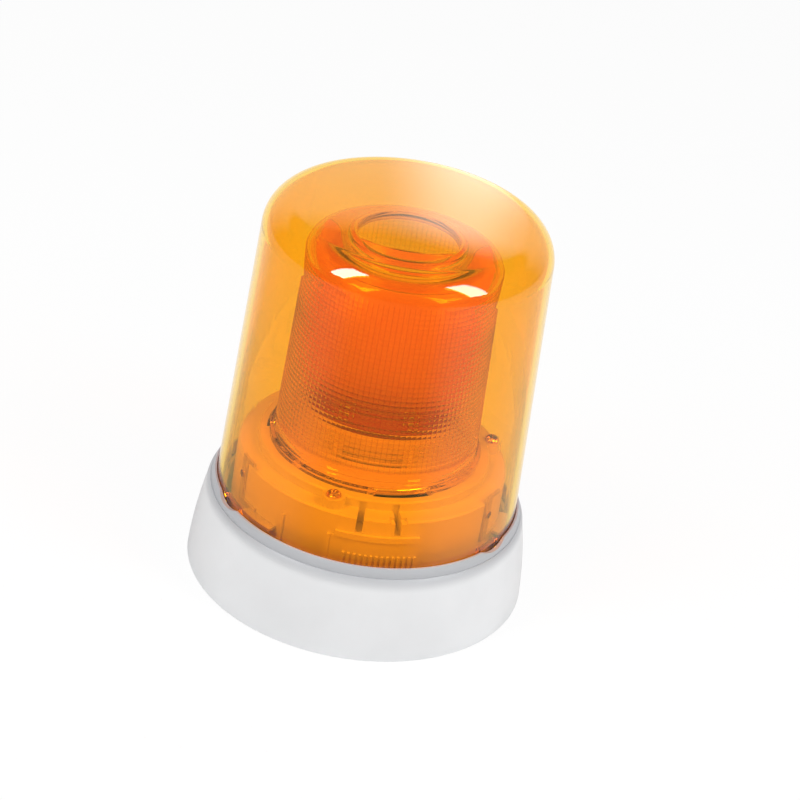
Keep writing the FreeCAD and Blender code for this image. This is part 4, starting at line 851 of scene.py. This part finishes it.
def pale_floor():
    """Flat floor that seems white where it is looked at, and keeps part of the shadow.

    In gloss it has a plain sheen, brighter behind the beacon and at its sides.
    """
    made, t, out = new_material("pale_floor")
    place = t.add("ShaderNodeTexCoord").outputs["Object"]
    cloud = t.add("ShaderNodeTexNoise", {}, Vector=place, Scale=6.0, Detail=3.0)
    base = t.mix(t.ramp(cloud.outputs["Fac"], 0.3, 0.7), (0.90, 0.90, 0.90, 1), (0.93, 0.93, 0.93, 1))
    matt = t.add("ShaderNodeBsdfDiffuse", {}, Color=base)
    path = t.add("ShaderNodeLightPath").outputs
    glow = t.add("ShaderNodeEmission", {}, Color=(1, 1, 1, 1))
    t.feed(glow.inputs["Strength"], t.ramp(path["Is Transmission Ray"], 0.0, 1.0, 1.0, THROUGH))
    seen = t.math("MAXIMUM", path["Is Camera Ray"], path["Is Transmission Ray"])
    both = t.add("ShaderNodeMixShader")
    t.feed(both.inputs[0], t.math("MULTIPLY", seen, FLOOR["glow"]))
    t.feed(both.inputs[1], matt.outputs[0])
    t.feed(both.inputs[2], glow.outputs[0])
    x, y, z = t.add("ShaderNodeSeparateXYZ", {}, Vector=place).outputs
    far = t.math("SQRT", t.math("ADD", t.math("MULTIPLY", x, x), t.math("MULTIPLY", y, y)))
    far = t.math("MAXIMUM", far, 0.001)
    behind = t.ramp(t.math("DIVIDE", y, far), *SHEEN["behind"])
    right = t.ramp(t.math("DIVIDE", x, far), *SHEEN["right"])
    left = t.ramp(t.math("DIVIDE", x, far), *SHEEN["left"])
    level = t.math("MAXIMUM", behind, t.math("MAXIMUM", right, left))
    sheen = t.add("ShaderNodeEmission", {}, Color=(1, 1, 1, 1), Strength=level)
    table = t.add("ShaderNodeMixShader")
    direct = t.math("SUBTRACT", 1.0, path["Is Transmission Ray"])
    t.feed(table.inputs[0], t.math("MULTIPLY", path["Is Glossy Ray"], direct))
    t.feed(table.inputs[1], both.outputs[0])
    t.feed(table.inputs[2], sheen.outputs[0])
    t.feed(out.inputs["Surface"], table.outputs[0])
    steps = np.linspace(-FLOOR["half"], FLOOR["half"], FLOOR["lines"])
    x, y = np.meshgrid(steps, steps)
    points = np.stack([x, y, np.full_like(x, FLOOR["low"])], -1).reshape(-1, 3)
    index = np.arange(x.size).reshape(x.shape)
    mesh = bpy.data.meshes.new("floor")
    mesh.from_pydata(points.tolist(), [], grid_faces(index, ring=False))
    mesh.materials.append(made)
    floor = bpy.data.objects.new("floor", mesh)
    bpy.context.scene.collection.objects.link(floor)
    floor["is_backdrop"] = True


def white_room(level):
    """World: white where it is looked at or through, a soft studio to gloss, an even light to the rest.

    The studio is dark but for a soft window low behind the beacon and a paler side to the right.
    """
    world = bpy.data.worlds.new("room")
    bpy.context.scene.world = world
    world.use_nodes = True
    world.node_tree.nodes.clear()
    t = Tree(world.node_tree)
    out = t.add("ShaderNodeOutputWorld")
    path = t.add("ShaderNodeLightPath").outputs
    where = t.add("ShaderNodeTexCoord").outputs["Generated"]
    x, y, z = t.add("ShaderNodeSeparateXYZ", {}, Vector=where).outputs
    across = t.math("MULTIPLY", t.ramp(x, *WINDOW["near"]), t.ramp(x, *WINDOW["far"]))
    window = t.math("MULTIPLY", across, t.ramp(y, *WINDOW["back"]))
    window = t.math("MULTIPLY", window, t.ramp(z, *WINDOW["top"]))
    gloss = t.math("MAXIMUM", window, t.ramp(x, *WINDOW["side"]))
    seen = t.math("MAXIMUM", path["Is Camera Ray"], path["Is Transmission Ray"])
    rest = t.math("ADD", t.math("MULTIPLY", path["Is Glossy Ray"], gloss),
                  t.math("MULTIPLY", t.math("SUBTRACT", 1.0, path["Is Glossy Ray"]), level))
    white = t.ramp(path["Is Transmission Ray"], 0.0, 1.0, 1.0, THROUGH)
    strength = t.math("ADD", t.math("MULTIPLY", seen, white),
                      t.math("MULTIPLY", t.math("SUBTRACT", 1.0, seen), rest))
    back = t.add("ShaderNodeBackground", {}, Color=(1, 1, 1, 1))
    t.feed(back.inputs["Strength"], strength)
    t.feed(out.inputs["Surface"], back.outputs[0])


class BEACON_OT_studio(Operator):
    """Pale floor, white room, two tall soft boxes and the camera"""
    bl_idname = "beacon.studio"
    bl_label = "Studio"

    def execute(self, context):
        s = settings()
        white_room(s.room_level)
        pale_floor()
        soft_box("left_box", s.lamp_level, **LEFT_LAMP)
        soft_box("right_box", s.lamp_level, **RIGHT_LAMP)
        aim_camera()
        context.scene.view_settings.view_transform = "Standard"
        return {"FINISHED"}


OPERATORS = (BEACON_OT_studio, BEACON_OT_dome, BEACON_OT_optic, BEACON_OT_base, BEACON_OT_mouldings,
             BEACON_OT_metals, BEACON_OT_rotor, BEACON_OT_electrics, BEACON_OT_lamp)


class BEACON_PT_panel(Panel):
    """Sidebar panel that lists the beacon's settings and steps"""
    bl_label = "Rotating Beacon"
    bl_idname = "BEACON_PT_panel"
    bl_space_type = "VIEW_3D"
    bl_region_type = "UI"
    bl_category = "Beacon"

    def draw(self, context):
        column = self.layout.column()
        for key in BeaconSettings.__annotations__:
            column.prop(context.scene.beacon, key)
        for operator in OPERATORS:
            column.operator(operator.bl_idname)


CLASSES = (BeaconSettings, *OPERATORS, BEACON_PT_panel)


def register():
    for made in CLASSES:
        bpy.utils.register_class(made)
    bpy.types.Scene.beacon = PointerProperty(type=BeaconSettings)


def unregister():
    del bpy.types.Scene.beacon
    for made in reversed(CLASSES):
        bpy.utils.unregister_class(made)


def main():
    register()
    for operator in OPERATORS:
        group_name, call = operator.bl_idname.split(".")
        getattr(getattr(bpy.ops, group_name), call)()
    plain = lambda box: [[round(float(v), 6) for v in corner] for corner in box]
    {"cad": plain(cad_box), "visual": plain(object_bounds())}


if __name__ == "__main__":
    main()
